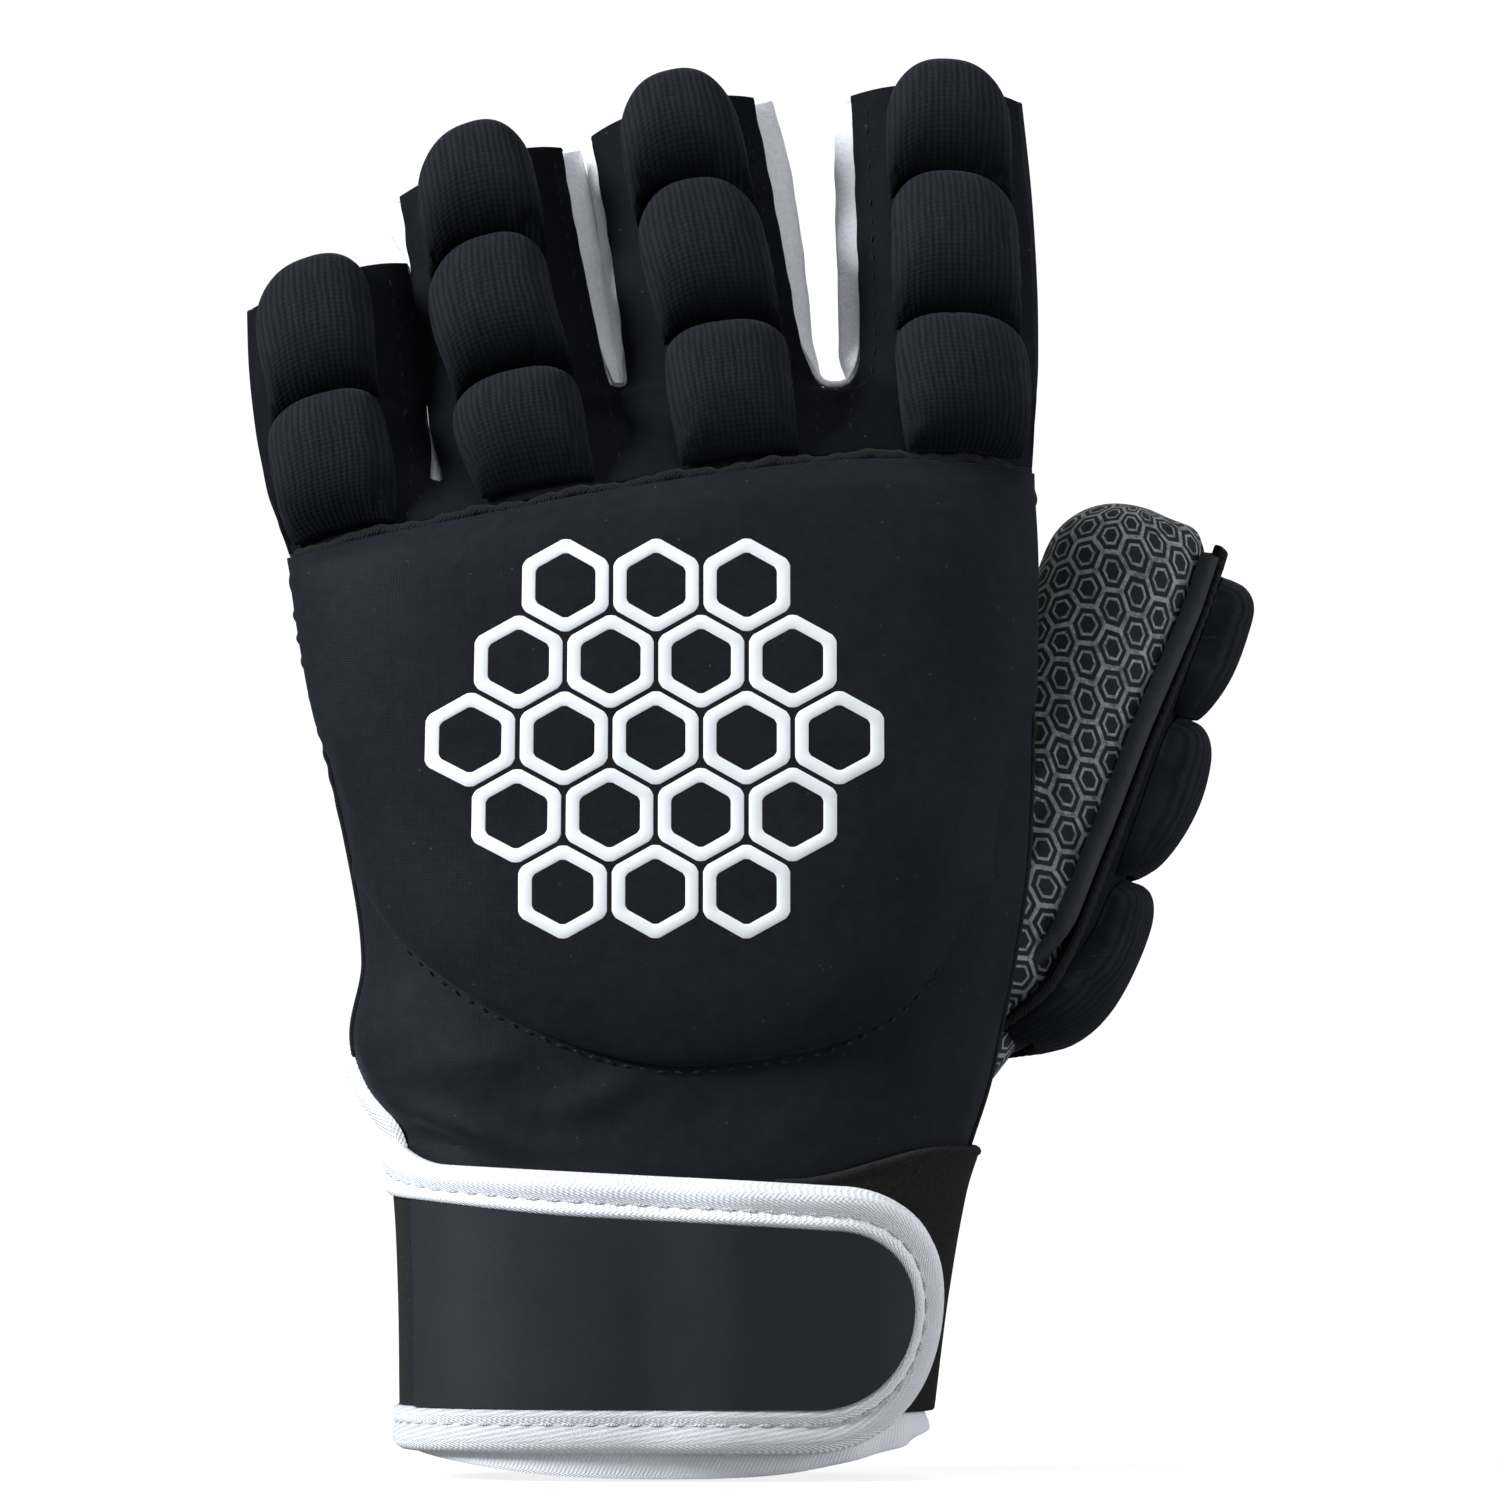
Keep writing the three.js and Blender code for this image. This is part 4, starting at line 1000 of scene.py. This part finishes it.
def swelled(parts):
    """The blocks' covers after a short cloth simulation under pressure, run at a larger scale."""
    counts = [len(places) // 2 for places, _, _ in parts]
    starts = np.cumsum([0, *counts])
    outer = np.concatenate([part[0][:count] for part, count in zip(parts, counts)])
    inner = np.concatenate([part[0][count:] for part, count in zip(parts, counts)])
    front = (BLOCK_COLUMNS - 1) * (BLOCK_ROWS - 1)
    faces = np.concatenate([part[1][:front] + start for part, start in zip(parts, starts)])
    grow = SWELL["scale"] / 1000
    mesh = bpy.data.meshes.new("cover")
    mesh.from_pydata((outer * grow).tolist(), [], faces.tolist())
    cover = bpy.data.objects.new("cover", mesh)
    scene = bpy.context.scene
    scene.collection.objects.link(cover)
    held = smooth(3.2, 1.2, np.linalg.norm(outer - inner, axis=-1))
    rim = cover.vertex_groups.new(name="rim")
    for index, weight in enumerate(held.tolist()):
        if weight > 0:
            rim.add([index], weight, "REPLACE")
    cloth = cover.modifiers.new("cloth", "CLOTH")
    cloth.settings.quality = 4
    cloth.settings.use_pressure = True
    cloth.settings.uniform_pressure_force = SWELL["pressure"]
    cloth.settings.effector_weights.gravity = 0
    cloth.settings.vertex_group_mass = "rim"
    cloth.settings.shrink_min = SWELL["slack"]
    cloth.collision_settings.use_collision = False
    cloth.point_cache.frame_end = SWELL["frames"]
    for number in range(1, SWELL["frames"] + 1):
        scene.frame_set(number)
    settled = cover.evaluated_get(bpy.context.evaluated_depsgraph_get()).data
    places = np.empty(len(outer) * 3, np.float32)
    settled.vertices.foreach_get("co", places)
    moved = places.reshape(-1, 3) / grow - outer
    scene.frame_set(1)
    bpy.data.objects.remove(cover)
    far = np.linalg.norm(moved, axis=-1, keepdims=True)
    moved = moved * np.minimum(1, SWELL["cap"] / np.maximum(far, 1e-9))
    whole = []
    for (places, faces, corners), count, start in zip(parts, counts, starts):
        places = np.concatenate([places[:count] + moved[start : start + count], places[count:]])
        whole.append((places, faces, corners))
    return whole


pad_names, pad_parts = zip(*finger_pads(), *thumb_pads())
for pad_name, part in zip(pad_names, swelled(pad_parts)):
    made = piece(pad_name + "_foam", [part], KNIT, [pad_name], 75)


# White walls between the fingers.
def gap_wave(u, v, base):
    free = smooth(0, 0.35, np.abs(2 * v - 1))
    crotch = 1.3 * np.exp(-(((v - 0.5) / 0.09) ** 2))
    return crotch + 0.15 * free * ripple(base, 16, 5) * np.sin(np.pi * u)


for left_name, right_name in zip(NAMES, NAMES[1:]):
    pair = f"{left_name}_{right_name}"
    part = cloth_wall(gap_face(left_name, right_name), (8, 90), -SIDE_WALL, 0, 0.9, 0.4, gap_wave)
    piece("white_gap_" + pair, [part], FLEECE, ["side_wall_" + pair])


# Back of the hand and wrist, with the wrist's folds as lines in x and z.
WRIST_FOLDS = table("""
    x0   z0    x1   z1    height  width
    -2   57.5  -18  51    1.2     2.4
    -40  53    -22  47    1.7     1.8
    -40  49.5  -26  44.5  -1.3    1.5
    -38  58    -18  61    0.9     3.0
    8    48    34   52    0.35    2.6
    20   55    46   60    0.35    3.2
    -30  46    -8   46.5  0.5     1.8
""")


def creases(base):
    total = np.zeros(base.shape[:-1])
    for x0, z0, x1, z1, height, width in zip(*WRIST_FOLDS.values()):
        start, way = np.array([x0, z0]), np.array([x1 - x0, z1 - z0])
        from_start = base[..., [0, 2]] - start
        share = np.clip((from_start @ way) / (way @ way), 0, 1)
        away = np.linalg.norm(from_start - share[..., None] * way, axis=-1)
        fade = np.sin(np.pi * np.clip(share, 0.04, 0.96)) ** 0.7
        total += height * fade * np.exp(-((away / width) ** 2))
    return total


SEAM_LEVEL = 142.0


def panel_face(start, end):
    def face(u, v):
        degrees = mix(start, end, u)
        top = seam_height(body_point(degrees, np.full(np.shape(degrees), SEAM_LEVEL))[..., 0]) - GAP
        return body_point(degrees, mix(HEM_TOP + GAP, top, v))

    return face


def back_wave(u, v, base):
    calm = smooth(0.0, 0.03, u) * smooth(1, 0.97, u)
    wrist = smooth(44, 50, base[..., 2]) * smooth(96, 60, base[..., 2])
    return calm * smooth(44, 46.5, base[..., 2]) * (creases(base) + 0.22 * wrist * ripple(base, 17, 3))


back_part = cloth_wall(panel_face(-SEAM_ANGLE, SEAM_ANGLE), (140, 140), -SHELL, 0, 1.3, 0.6, back_wave)
piece("back_of_hand", [back_part], JERSEY, ["back_panel"])


# The padded shell over the back of the hand.
def shell_height(base, u, v):
    """How far the shell's outside stands from the back of the hand."""
    hill_u = (1 - np.abs(2 * u - 1) ** 6.5) ** 0.62
    hill_v = (1 - np.abs(2 * v - 1) ** 5.5) ** 0.62
    top_rim = smooth(1.0, 0.955, v)
    slow = 1 - np.clip(1 - v / 0.6, 0, 1) ** 2.2
    body = hill_u * hill_v * (0.55 + 0.45 * top_rim) * (0.62 + 0.38 * slow)
    even = CLEAR + BACK_PAD_RIM + (BACK_PAD_RISE - BACK_PAD_RIM) * body
    return even + 0.25 * ripple(base, 34, 8) * np.sin(np.pi * u) * np.sin(np.pi * v)


def crowded(count):
    """Shares from 0 to 1, closer together towards both ends."""
    even = np.linspace(0, 1, count)
    return mix(even, (1 - np.cos(np.pi * even)) / 2, 0.5)


def shell_part():
    u, v = np.meshgrid(crowded(121), crowded(101))
    base = back_pad_face(u, v)
    normal = normals(back_pad_face, u, v)
    high = shell_height(base, u, v)[..., None]
    return slab(base + normal * high, base + normal * CLEAR, base[..., [0, 2]])


shell = piece("back_shell", [shell_part()], JERSEY, ["back_pad"], 60)


# A plain honeycomb print on the shell: six-sided rings with rounded corners, in five rows.
PRINT_CENTRE = (-1.2, 107.0)
CELL = 13.2
RING_RADII = (4.35, 4.55, 6.05, 6.25)
INK_RISE = np.array([0.02, 0.14, 0.14, 0.02])


def shell_place(x, z):
    """Where on the shell a spot seen from the back lies, as u and v."""
    u, v = (x + 50) / 103, (z - 60) / 85
    for _ in range(12):
        spot = back_pad_face(u, v)
        du = (back_pad_face(u + 1e-3, v) - spot) / 1e-3
        dv = (back_pad_face(u, v + 1e-3) - spot) / 1e-3
        miss_x, miss_z = x - spot[..., 0], z - spot[..., 2]
        det = du[..., 0] * dv[..., 2] - dv[..., 0] * du[..., 2]
        u = u + (miss_x * dv[..., 2] - miss_z * dv[..., 0]) / det
        v = v + (miss_z * du[..., 0] - miss_x * du[..., 2]) / det
    return u, v


def print_parts():
    angle = np.linspace(0, 2 * np.pi, 73)[:-1]
    turn = (angle + np.pi / 6) % (np.pi / 3) - np.pi / 6
    parts = []
    for row in range(-2, 3):
        for column in range(5 - abs(row)):
            x = PRINT_CENTRE[0] + CELL * (column - (4 - abs(row)) / 2)
            z = PRINT_CENTRE[1] + CELL * row * 3**0.5 / 2
            reach = np.stack([np.minimum(radius / np.cos(turn), radius * 1.11) for radius in RING_RADII])
            ring = np.stack([x + reach * np.cos(angle), z + reach * np.sin(angle)], -1)
            u, v = shell_place(ring[..., 0], ring[..., 1])
            base = back_pad_face(u, v)
            rise = shell_height(base, u, v) + INK_RISE[:, None]
            grid = base + normals(back_pad_face, u, v) * rise[..., None]
            parts.append(band(grid[:, ::-1], ring[:, ::-1]))
    return parts


piece("honeycomb_print", print_parts(), INK)


# Palm: the palm of the hand with the palm sides of the fingers, open where the thumb joins.
def inside_thumb(places, grow):
    """Whether points lie within the thumb, grown by an amount."""
    v = np.linspace(-0.1, 1, 111)
    centre, axis, nail, side = thumb_frame(v)
    thick, wide = both(THUMB, v, "thick wide")
    inside = np.zeros(len(places), bool)
    for k in range(len(v)):
        away = places - centre[k]
        out, over = away @ nail[k], away @ side[k]
        more = grow + root_tuck(np.degrees(np.arctan2(over, out)), v[k])
        spread = (out / (thick[k] + more)) ** 2 + (over / (wide[k] + more)) ** 2
        inside |= (np.abs(away @ axis[k]) < 0.6) & (spread < 1)
    return inside


def inside_hand(places, grow):
    x, y, z = places.T
    left, right = both(BODY, z)
    side = np.where(y < 0, *both(BODY, z, "back palm")) + grow
    across = np.abs((2 * x - left - right) / (right - left + 2 * grow))
    return (across**SECTION_POWER + np.abs(y / side) ** SECTION_POWER < 1) & (z > -3) & (z < 150)


def palm_wave(u, v, base):
    return 0.3 * ripple(base, 26, 14) * smooth(0, 0.05, u) * smooth(1, 0.95, u) * smooth(0.3, 0.5, v)


def palm_tine(name):
    crotch_left, crotch_right = CROTCH[name]

    def face(u, v):
        t = mix(-0.02, 1, v)
        left = np.where(t < crotch_right, -0.006, 0)
        right = np.where(t < crotch_left, 1.006, 1)
        return finger_point(name, 1 - mix(left, right, u), 1, t)

    return cloth_wall(face, (25, 50), PALM_STEP - SHELL, PALM_STEP, 1.4, 0.5)


def outer_side(name, edge):
    """The fabric side of an outer finger, tucked under the rim of its strip."""
    w = 0.0 if edge == "L" else 1.0

    def face(u, v):
        t = mix(0.02, 1, v)
        deep = np.linalg.norm(finger_point(name, w, 1, t) - finger_point(name, w, -1, t), axis=-1)
        strip_normal = normals(lambda a, b: finger_point(name, a, -1, b), np.full(t.shape, w), t)
        tuck = np.clip((SHELL * np.abs(strip_normal[..., 1]) - 0.3) / deep, 0, 0.8)
        return side_point(name, edge, t, mix(tuck, 1.02, u if edge == "R" else 1 - u))

    return cloth_wall(face, (9, 50), -SHELL, 0, 1.2, 0.5)


palm_face = panel_face(SEAM_ANGLE + SEAM_GAP, 360 - SEAM_ANGLE - SEAM_GAP)
palm_part = cloth_wall(palm_face, (145, 140), -SHELL, 0, 1.6, 0.6, palm_wave)
palm_part = without(palm_part, inside_thumb(palm_part[0], -SHELL))
piece("palm", [palm_part, *[palm_tine(name) for name in NAMES]], PRINTED, ["palm_panel"])
piece("finger_sides", [outer_side("little", "L"), outer_side("index", "R")], STRIP)


# Thumb sleeve, with folds and gathers where it meets the hand.
def near_angle(degrees, at, width):
    return np.exp(-(((degrees - at) / width) ** 2))


def thumb_parts():
    end = 1 + THUMB_CLOSE * np.sin(np.linspace(0.03, 1, 26) * np.pi / 2)
    stops = np.concatenate([np.linspace(0, 1, 60), end])
    stops[-1] = 1.2999
    degrees, v = np.meshgrid(np.linspace(0, 360, 97)[:-1], stops)
    turn = np.radians(degrees)
    fold = np.sin(v * 34 + 2.2 * np.cos(np.radians(degrees - 265))) * smooth(0.62, 0.28, v)
    offset = 0.55 * fold * near_angle(degrees, 265, 55) + 0.15 * ripple(thumb_point(degrees, v), 13, 6)
    gathers = 0.75 * np.sin(turn * 15 + 2 * v) * near_angle(degrees, 238, 26) * smooth(0.8, 0.35, v)
    free = 0.3 + 0.7 * smooth(-0.1, -0.5, np.cos(turn))
    grid = thumb_point(degrees, v, np.minimum(offset + gathers, free) + root_tuck(degrees, v))
    nail_side = smooth(-0.2, 0.9, np.cos(np.radians(degrees + 25)))
    squared = 2.6 * smooth(0.86, 1.12, v) * smooth(1.3, 1.2, v) * nail_side
    grid = grid + THUMB_WAY * squared[..., None]
    cloth = np.stack([turn * THUMB_RADIUS, lengths(grid, 0)], -1)
    lining = thumb_point(degrees, np.minimum(v, 1.27), -SHELL)[:, ::-1]
    return [without(part, inside_hand(part[0], 0.2)) for part in (band(grid, cloth), band(lining, cloth))]


piece("thumb", thumb_parts(), PRINTED, ["thumb_sleeve"])


# The strip on the thumb, its piping and the raised seam between them.
PIPING_PROFILE = table("""
    degrees  high
    -69.5    0.5
    -70      1.2
    -69      2.1
    -66.8    2.7
    -63.2    2.9
    -60.2    2.5
    -58.6    1.6
    -58.6    0.5
""")


def clear_of_hand(part):
    return without(part, inside_hand(part[0], 0.4))


def strip_face(u, v):
    degrees = mix(-THUMB_STRIP["half"], THUMB_STRIP["half"], u)
    return thumb_strip_point(degrees, mix(THUMB_STRIP["from"], THUMB_STRIP["to"], v))


def thumb_piping():
    v = np.linspace(0.12, 1.19, 110)
    sunk = smooth(0.2, 0.34, v)
    profile = zip(*PIPING_PROFILE.values())
    rows = [thumb_line(degrees, v, mix(-1.5, high, sunk))[0] for degrees, high in profile]
    return swept(np.stack(rows[::-1], 1))


def thumb_ridge():
    path, normal = thumb_line(-54.5, np.linspace(0.15, 1.2, 120), THUMB_STRIP_TOP + 0.35)
    beat = lengths(path, 0) * 3.4
    return tube(path, normal, 0.75 + 0.12 * np.sin(beat), 0.6 + 0.1 * np.sin(beat + 1))


thumb_strip = cloth_wall(strip_face, (25, 95), CLEAR, THUMB_STRIP_TOP, 1.3, 0.5)
piece("thumb_back_strip", [clear_of_hand(thumb_strip)], STRIP, ["thumb_strip"])
piece("thumb_edge_piping", [clear_of_hand(thumb_piping())], PIPING, ["thumb_piping"])
piece("thumb_overlock", [clear_of_hand(thumb_ridge())], THREAD)


# The strap: core, rubber patch, and white binding with its row of stitches.
ROLL = table("""
    inset  high
    4.6    2.2
    4.25   2.35
    3.5    2.75
    2.5    3.0
    1.5    2.9
    0.7    2.35
    0.15   1.5
    0      0.6
    0.4    0
    2.2    0
    4.3    0
    4.6    1.2
""")
INNER_ROLL = table("""
    inset  high
    6.75   1.95
    6.6    2.5
    6.0    2.85
    5.4    2.8
    4.9    2.5
    4.55   2.3
    4.6    1.95
    5.6    1.9
""")


def laid(s, z, offset):
    """A place on the strap, which lifts off the wrist over the loop tab."""
    over_tab = smooth(STRAP_LIFT["from"], STRAP_LIFT["to"], s)
    return wrist_point(s, z, mix(STRAP_LIFT["left"], STRAP_LIFT["right"], over_tab) + offset)


def strap_slab(start, inset, low, high):
    """A flat layer of the strap, from its lower edge to its upper one."""
    s, z = strap_edge(start, inset)
    middle = len(s) // 2 + 1
    w = np.linspace(0, 1, 13)[:, None]
    s, z = mix(s[::-1][:middle], s[:middle], w), mix(z[::-1][:middle], z[:middle], w)
    return slab(laid(s, z, high), laid(s, z, low), np.stack([s, z], -1))


def strap_roll(profile):
    """The strap's outline swept with a profile of inset and height pairs."""
    edges = [(strap_edge(STRAP["start"], inset, 1.2), high) for inset, high in zip(*profile.values())]
    return swept(np.stack([laid(s, z, high) for (s, z), high in edges], 1))


def strap_stitches():
    s, z = strap_edge(STRAP["start"], BINDING + 0.1, 1.0)
    path = laid(s, z, 2.42)
    return stitches(path, unit(laid(s, z, 3.35) - path), 2.3, 3.3, 0.26)


patch_low = STRAP["thick"] + GAP
core = strap_slab(STRAP["start"], BINDING + GAP, 0, STRAP["thick"])
patch = strap_slab(PATCH_START, PATCH_INSET, patch_low, patch_low + PATCH_THICK)
piece("strap_core", [core], LOOP, ["strap"])
piece("rubber_patch", [patch], RUBBER, ["strap_patch"])
piece("strap_edging", [strap_roll(ROLL), strap_roll(INNER_ROLL)], TWILL, ["strap_binding"])
piece("strap_stitching", strap_stitches(), WHITE_THREAD)


# The loop tab under the strap's round end, with a rolled upper edge.
def tab_top(s):
    return LOOP_TAB["top"] - 5.0 * smooth(40, 16, s)


def tab_face(u, v):
    s = mix(LOOP_TAB["from"], LOOP_TAB["to"], u)
    return wrist_point(s, mix(LOOP_TAB["bottom"], tab_top(s), v))


def tab_lip():
    s = np.linspace(LOOP_TAB["from"], LOOP_TAB["to"], 90)
    path = wrist_point(s, tab_top(s) + 0.1, CLEAR + 0.8)
    return tube(path, unit(wrist_point(s, tab_top(s) + 0.1, 2.5) - path), 0.8, 1.0)


tab = cloth_wall(tab_face, (74, 39), CLEAR, CLEAR + LOOP_TAB["thick"], 1.4, 0.5)
piece("closure_loop", [tab, tab_lip()], LOOP, ["loop_tab"])


# White binding up the slit, half-round over the edge and flat underneath.
def slit_part(steps=7, low=0.1):
    s, z, width = both(SLIT, np.linspace(0, 4, 40), "s z width")
    top = CLEAR + SLIT_THICK - low
    over = [(0.5 - 0.5 * np.cos(a), low + top * np.sin(a) ** 0.8) for a in np.linspace(0, np.pi, steps)]
    under = [(1 - w, low - 0.01) for w in np.linspace(0, 1, steps)[1:-1]]
    return swept(np.stack([wrist_point(s - share * width, z, high) for share, high in over + under], 1))


piece("slit_edging", [slit_part()], TWILL, ["slit_binding"])


# White binding round the wrist opening. Its profile goes from the lower edge up and back inside.
HEM_PROFILE = table("""
    share  depth
    0      0.16
    0.06   0.05
    0.35   0
    0.75   0
    0.94   0.08
    1      0.3
    1      0.8
    0.7    1
    0.3    1
    0      0.8
    0      0.5
""")


def hem_part():
    degrees = np.linspace(-180, 180, 181)[:-1]
    low = (HEM_DIP - HEM_SIDES) * np.cos(np.radians(degrees)) ** 2 + HEM_SIDES
    loose = smooth(18, 62, degrees) * smooth(150, 105, degrees)
    low = low + 1.4 * loose + 2.2 * near_angle(degrees, 90, 20)
    flare = loose * (1.7 + 0.45 * np.sin(degrees * 0.33))
    rows = []
    for share, depth in zip(*HEM_PROFILE.values()):
        out = flare * (1 - share) ** 0.7 - HEM_THICK * depth
        rows.append(body_point(degrees, mix(low, HEM_TOP, share), out))
    return band(np.stack([*rows, rows[0]])[:, ::-1])


piece("hem_edging", [hem_part()], HEM_TWILL, ["hem_binding"])


# Seams. Zig-zag stitches run under the knuckle seam and under the shell's lower edge.
def on_back(x, z, offset):
    normal = normals(back_spot, x, z, (0.2, 0.2))
    return back_spot(x, z) + normal * offset, normal


def knuckle_parts():
    x = np.linspace(-54.5, 53.6, 260)
    z = seam_height(x) + 0.3 * np.sin(x * 0.42 + 1) + 0.15 * np.sin(x * 1.3)
    path, normal = on_back(x, z, 0.55)
    run = lengths(path, 0)
    wide = 0.86 + 0.07 * np.sin(run * 2.6) + 0.05 * np.sin(run * 1.1)
    high = 0.9 + 0.07 * np.sin(run * 2.6 + 0.8) + 0.06 * np.sin(run * 0.7)
    under = on_back(x, seam_height(x) - 1.5, 0.9)
    return [tube(path, normal, wide, high), *stitches(*under, 1.7, 2.7, 0.26, 0.25)]


def shell_stitches():
    spot = back_pad_face(np.linspace(0.0, 1.0, 240), np.zeros(240))
    return stitches(*on_back(spot[:, 0], spot[:, 2] - 0.9, 0.35), 1.3, 2.6, 0.24, 0.12)


def side_seam(degrees, z_from, z_to, seed):
    """A ruffled seam down one side of the hand."""
    z = np.linspace(z_from, z_to, 260)
    angle = np.full(260, float(degrees))
    normal = normals(body_point, angle, z, (0.1, 0.1))
    frill = smooth(88, 126, z)
    beat = np.sin(z * 1.45 + 1.3 * np.sin(z * 0.35 + seed))
    path = body_point(angle, z) + normal * (0.05 + 0.2 * frill * beat)[:, None]
    ends = 0.25 + 0.75 * smooth(z_from, z_from + 8, z)
    return tube(path, normal, ends * (0.6 + 0.12 * frill * beat), ends * (0.55 + 0.12 * frill * beat))


def strip_stitches(name, w):
    """A stitch line beside a finger's blocks."""
    t = np.linspace(0.06, 0.98, 80)
    share = np.full(80, w)

    def face(a, b):
        return finger_point(name, a, -1, b)

    return stitches(face(share, t), normals(face, share, t), 1.6, 2.9, 0.22, 0.2)


side = SEAM_ANGLE + SEAM_GAP / 2
finger_threads = []
for name, w in (("little", 0.87), ("ring", 0.93), ("middle", 0.91), ("index", 0.09)):
    finger_threads += strip_stitches(name, w)
piece("knuckle_overlock", knuckle_parts(), THREAD)
piece("shell_stitching", shell_stitches(), SEAM_THREAD)
piece("side_seams", [side_seam(-side, 52, 134, 1), side_seam(side, 38, 146, 2)], THREAD)
piece("finger_stitching", finger_threads, THREAD)


# Floor, light and camera.
FLOOR_RADIUS, FLOOR_HEIGHT = 0.6, -0.0032


def floor():
    mesh = bpy.data.meshes.new("floor")
    turns = np.linspace(0, 2 * np.pi, 65)[:-1]
    ring = [(FLOOR_RADIUS * np.cos(a), FLOOR_RADIUS * np.sin(a), FLOOR_HEIGHT) for a in turns]
    mesh.from_pydata(ring, [], [list(range(64))])
    made = bpy.data.objects.new("floor", mesh)
    bpy.context.scene.collection.objects.link(made)
    look = Look("floor", 0.9)
    grain = look.noise(look.place, 0.02, 2.0)
    ray = look.add("ShaderNodeLightPath").outputs["Is Camera Ray"]
    look.set(look.shader.inputs["Emission Color"], (1, 1, 1, 1))
    look.set(look.shader.inputs["Emission Strength"], look.times(ray, 0.85))
    look.finish(look.blend(grain, (0.20, 0.20, 0.20), (0.22, 0.22, 0.22)), look.bump(grain, 0.01))
    mesh.materials.append(look.material)


def lamp(name, place, size, power, tint=(1, 1, 1)):
    data = bpy.data.lights.new(name, "AREA")
    data.shape = "DISK"
    data.size = size
    data.energy = power
    data.color = tint
    made = bpy.data.objects.new(name, data)
    made.location = place
    made.rotation_euler = (Vector((0, 0, 0.1)) - Vector(place)).to_track_quat("-Z", "Y").to_euler()
    bpy.context.scene.collection.objects.link(made)


def backdrop():
    """White to the eye, and dimmer as a light, so that the studio lamps give the shading."""
    world = bpy.data.worlds.new("studio")
    bpy.context.scene.world = world
    world.use_nodes = True
    tree = world.node_tree
    lit = tree.nodes["Background"]
    lit.inputs["Color"].default_value = (0.92, 0.96, 1.0, 1)
    lit.inputs["Strength"].default_value = 0.15
    seen = tree.nodes.new("ShaderNodeBackground")
    seen.inputs["Color"].default_value = (1, 1, 1, 1)
    seen.inputs["Strength"].default_value = 1.05
    ray = tree.nodes.new("ShaderNodeLightPath")
    choose = tree.nodes.new("ShaderNodeMixShader")
    tree.links.new(ray.outputs["Is Camera Ray"], choose.inputs[0])
    tree.links.new(lit.outputs[0], choose.inputs[1])
    tree.links.new(seen.outputs[0], choose.inputs[2])
    tree.links.new(choose.outputs[0], tree.nodes["World Output"].inputs["Surface"])


floor()
backdrop()
lamp("key", (-1.85, -0.85, 1.1), 0.8, 84, (0.94, 0.97, 1.0))
lamp("top", (0.05, -0.45, 1.8), 0.9, 11)
lamp("fill", (1.3, -1.6, 0.35), 1.2, 7, (0.95, 0.97, 1.0))
lamp("side", (1.75, -0.3, 0.1), 1.0, 16, (0.96, 0.98, 1.0))
lamp("rear", (0.0, 1.6, 0.9), 1.4, 8)

FRAME_WIDTH = 0.225
DISTANCE = 3.0
camera_data = bpy.data.cameras.new("camera")
camera_data.sensor_width = 36
camera_data.lens = 36 * DISTANCE / FRAME_WIDTH
camera_data.clip_end = 20
camera = bpy.data.objects.new("camera", camera_data)
camera.location = (0.01275, -DISTANCE, 0.10575)
camera.rotation_euler = (np.pi / 2, 0, 0)
bpy.context.scene.collection.objects.link(camera)
bpy.context.scene.camera = camera
bpy.context.scene.view_settings.view_transform = "Standard"
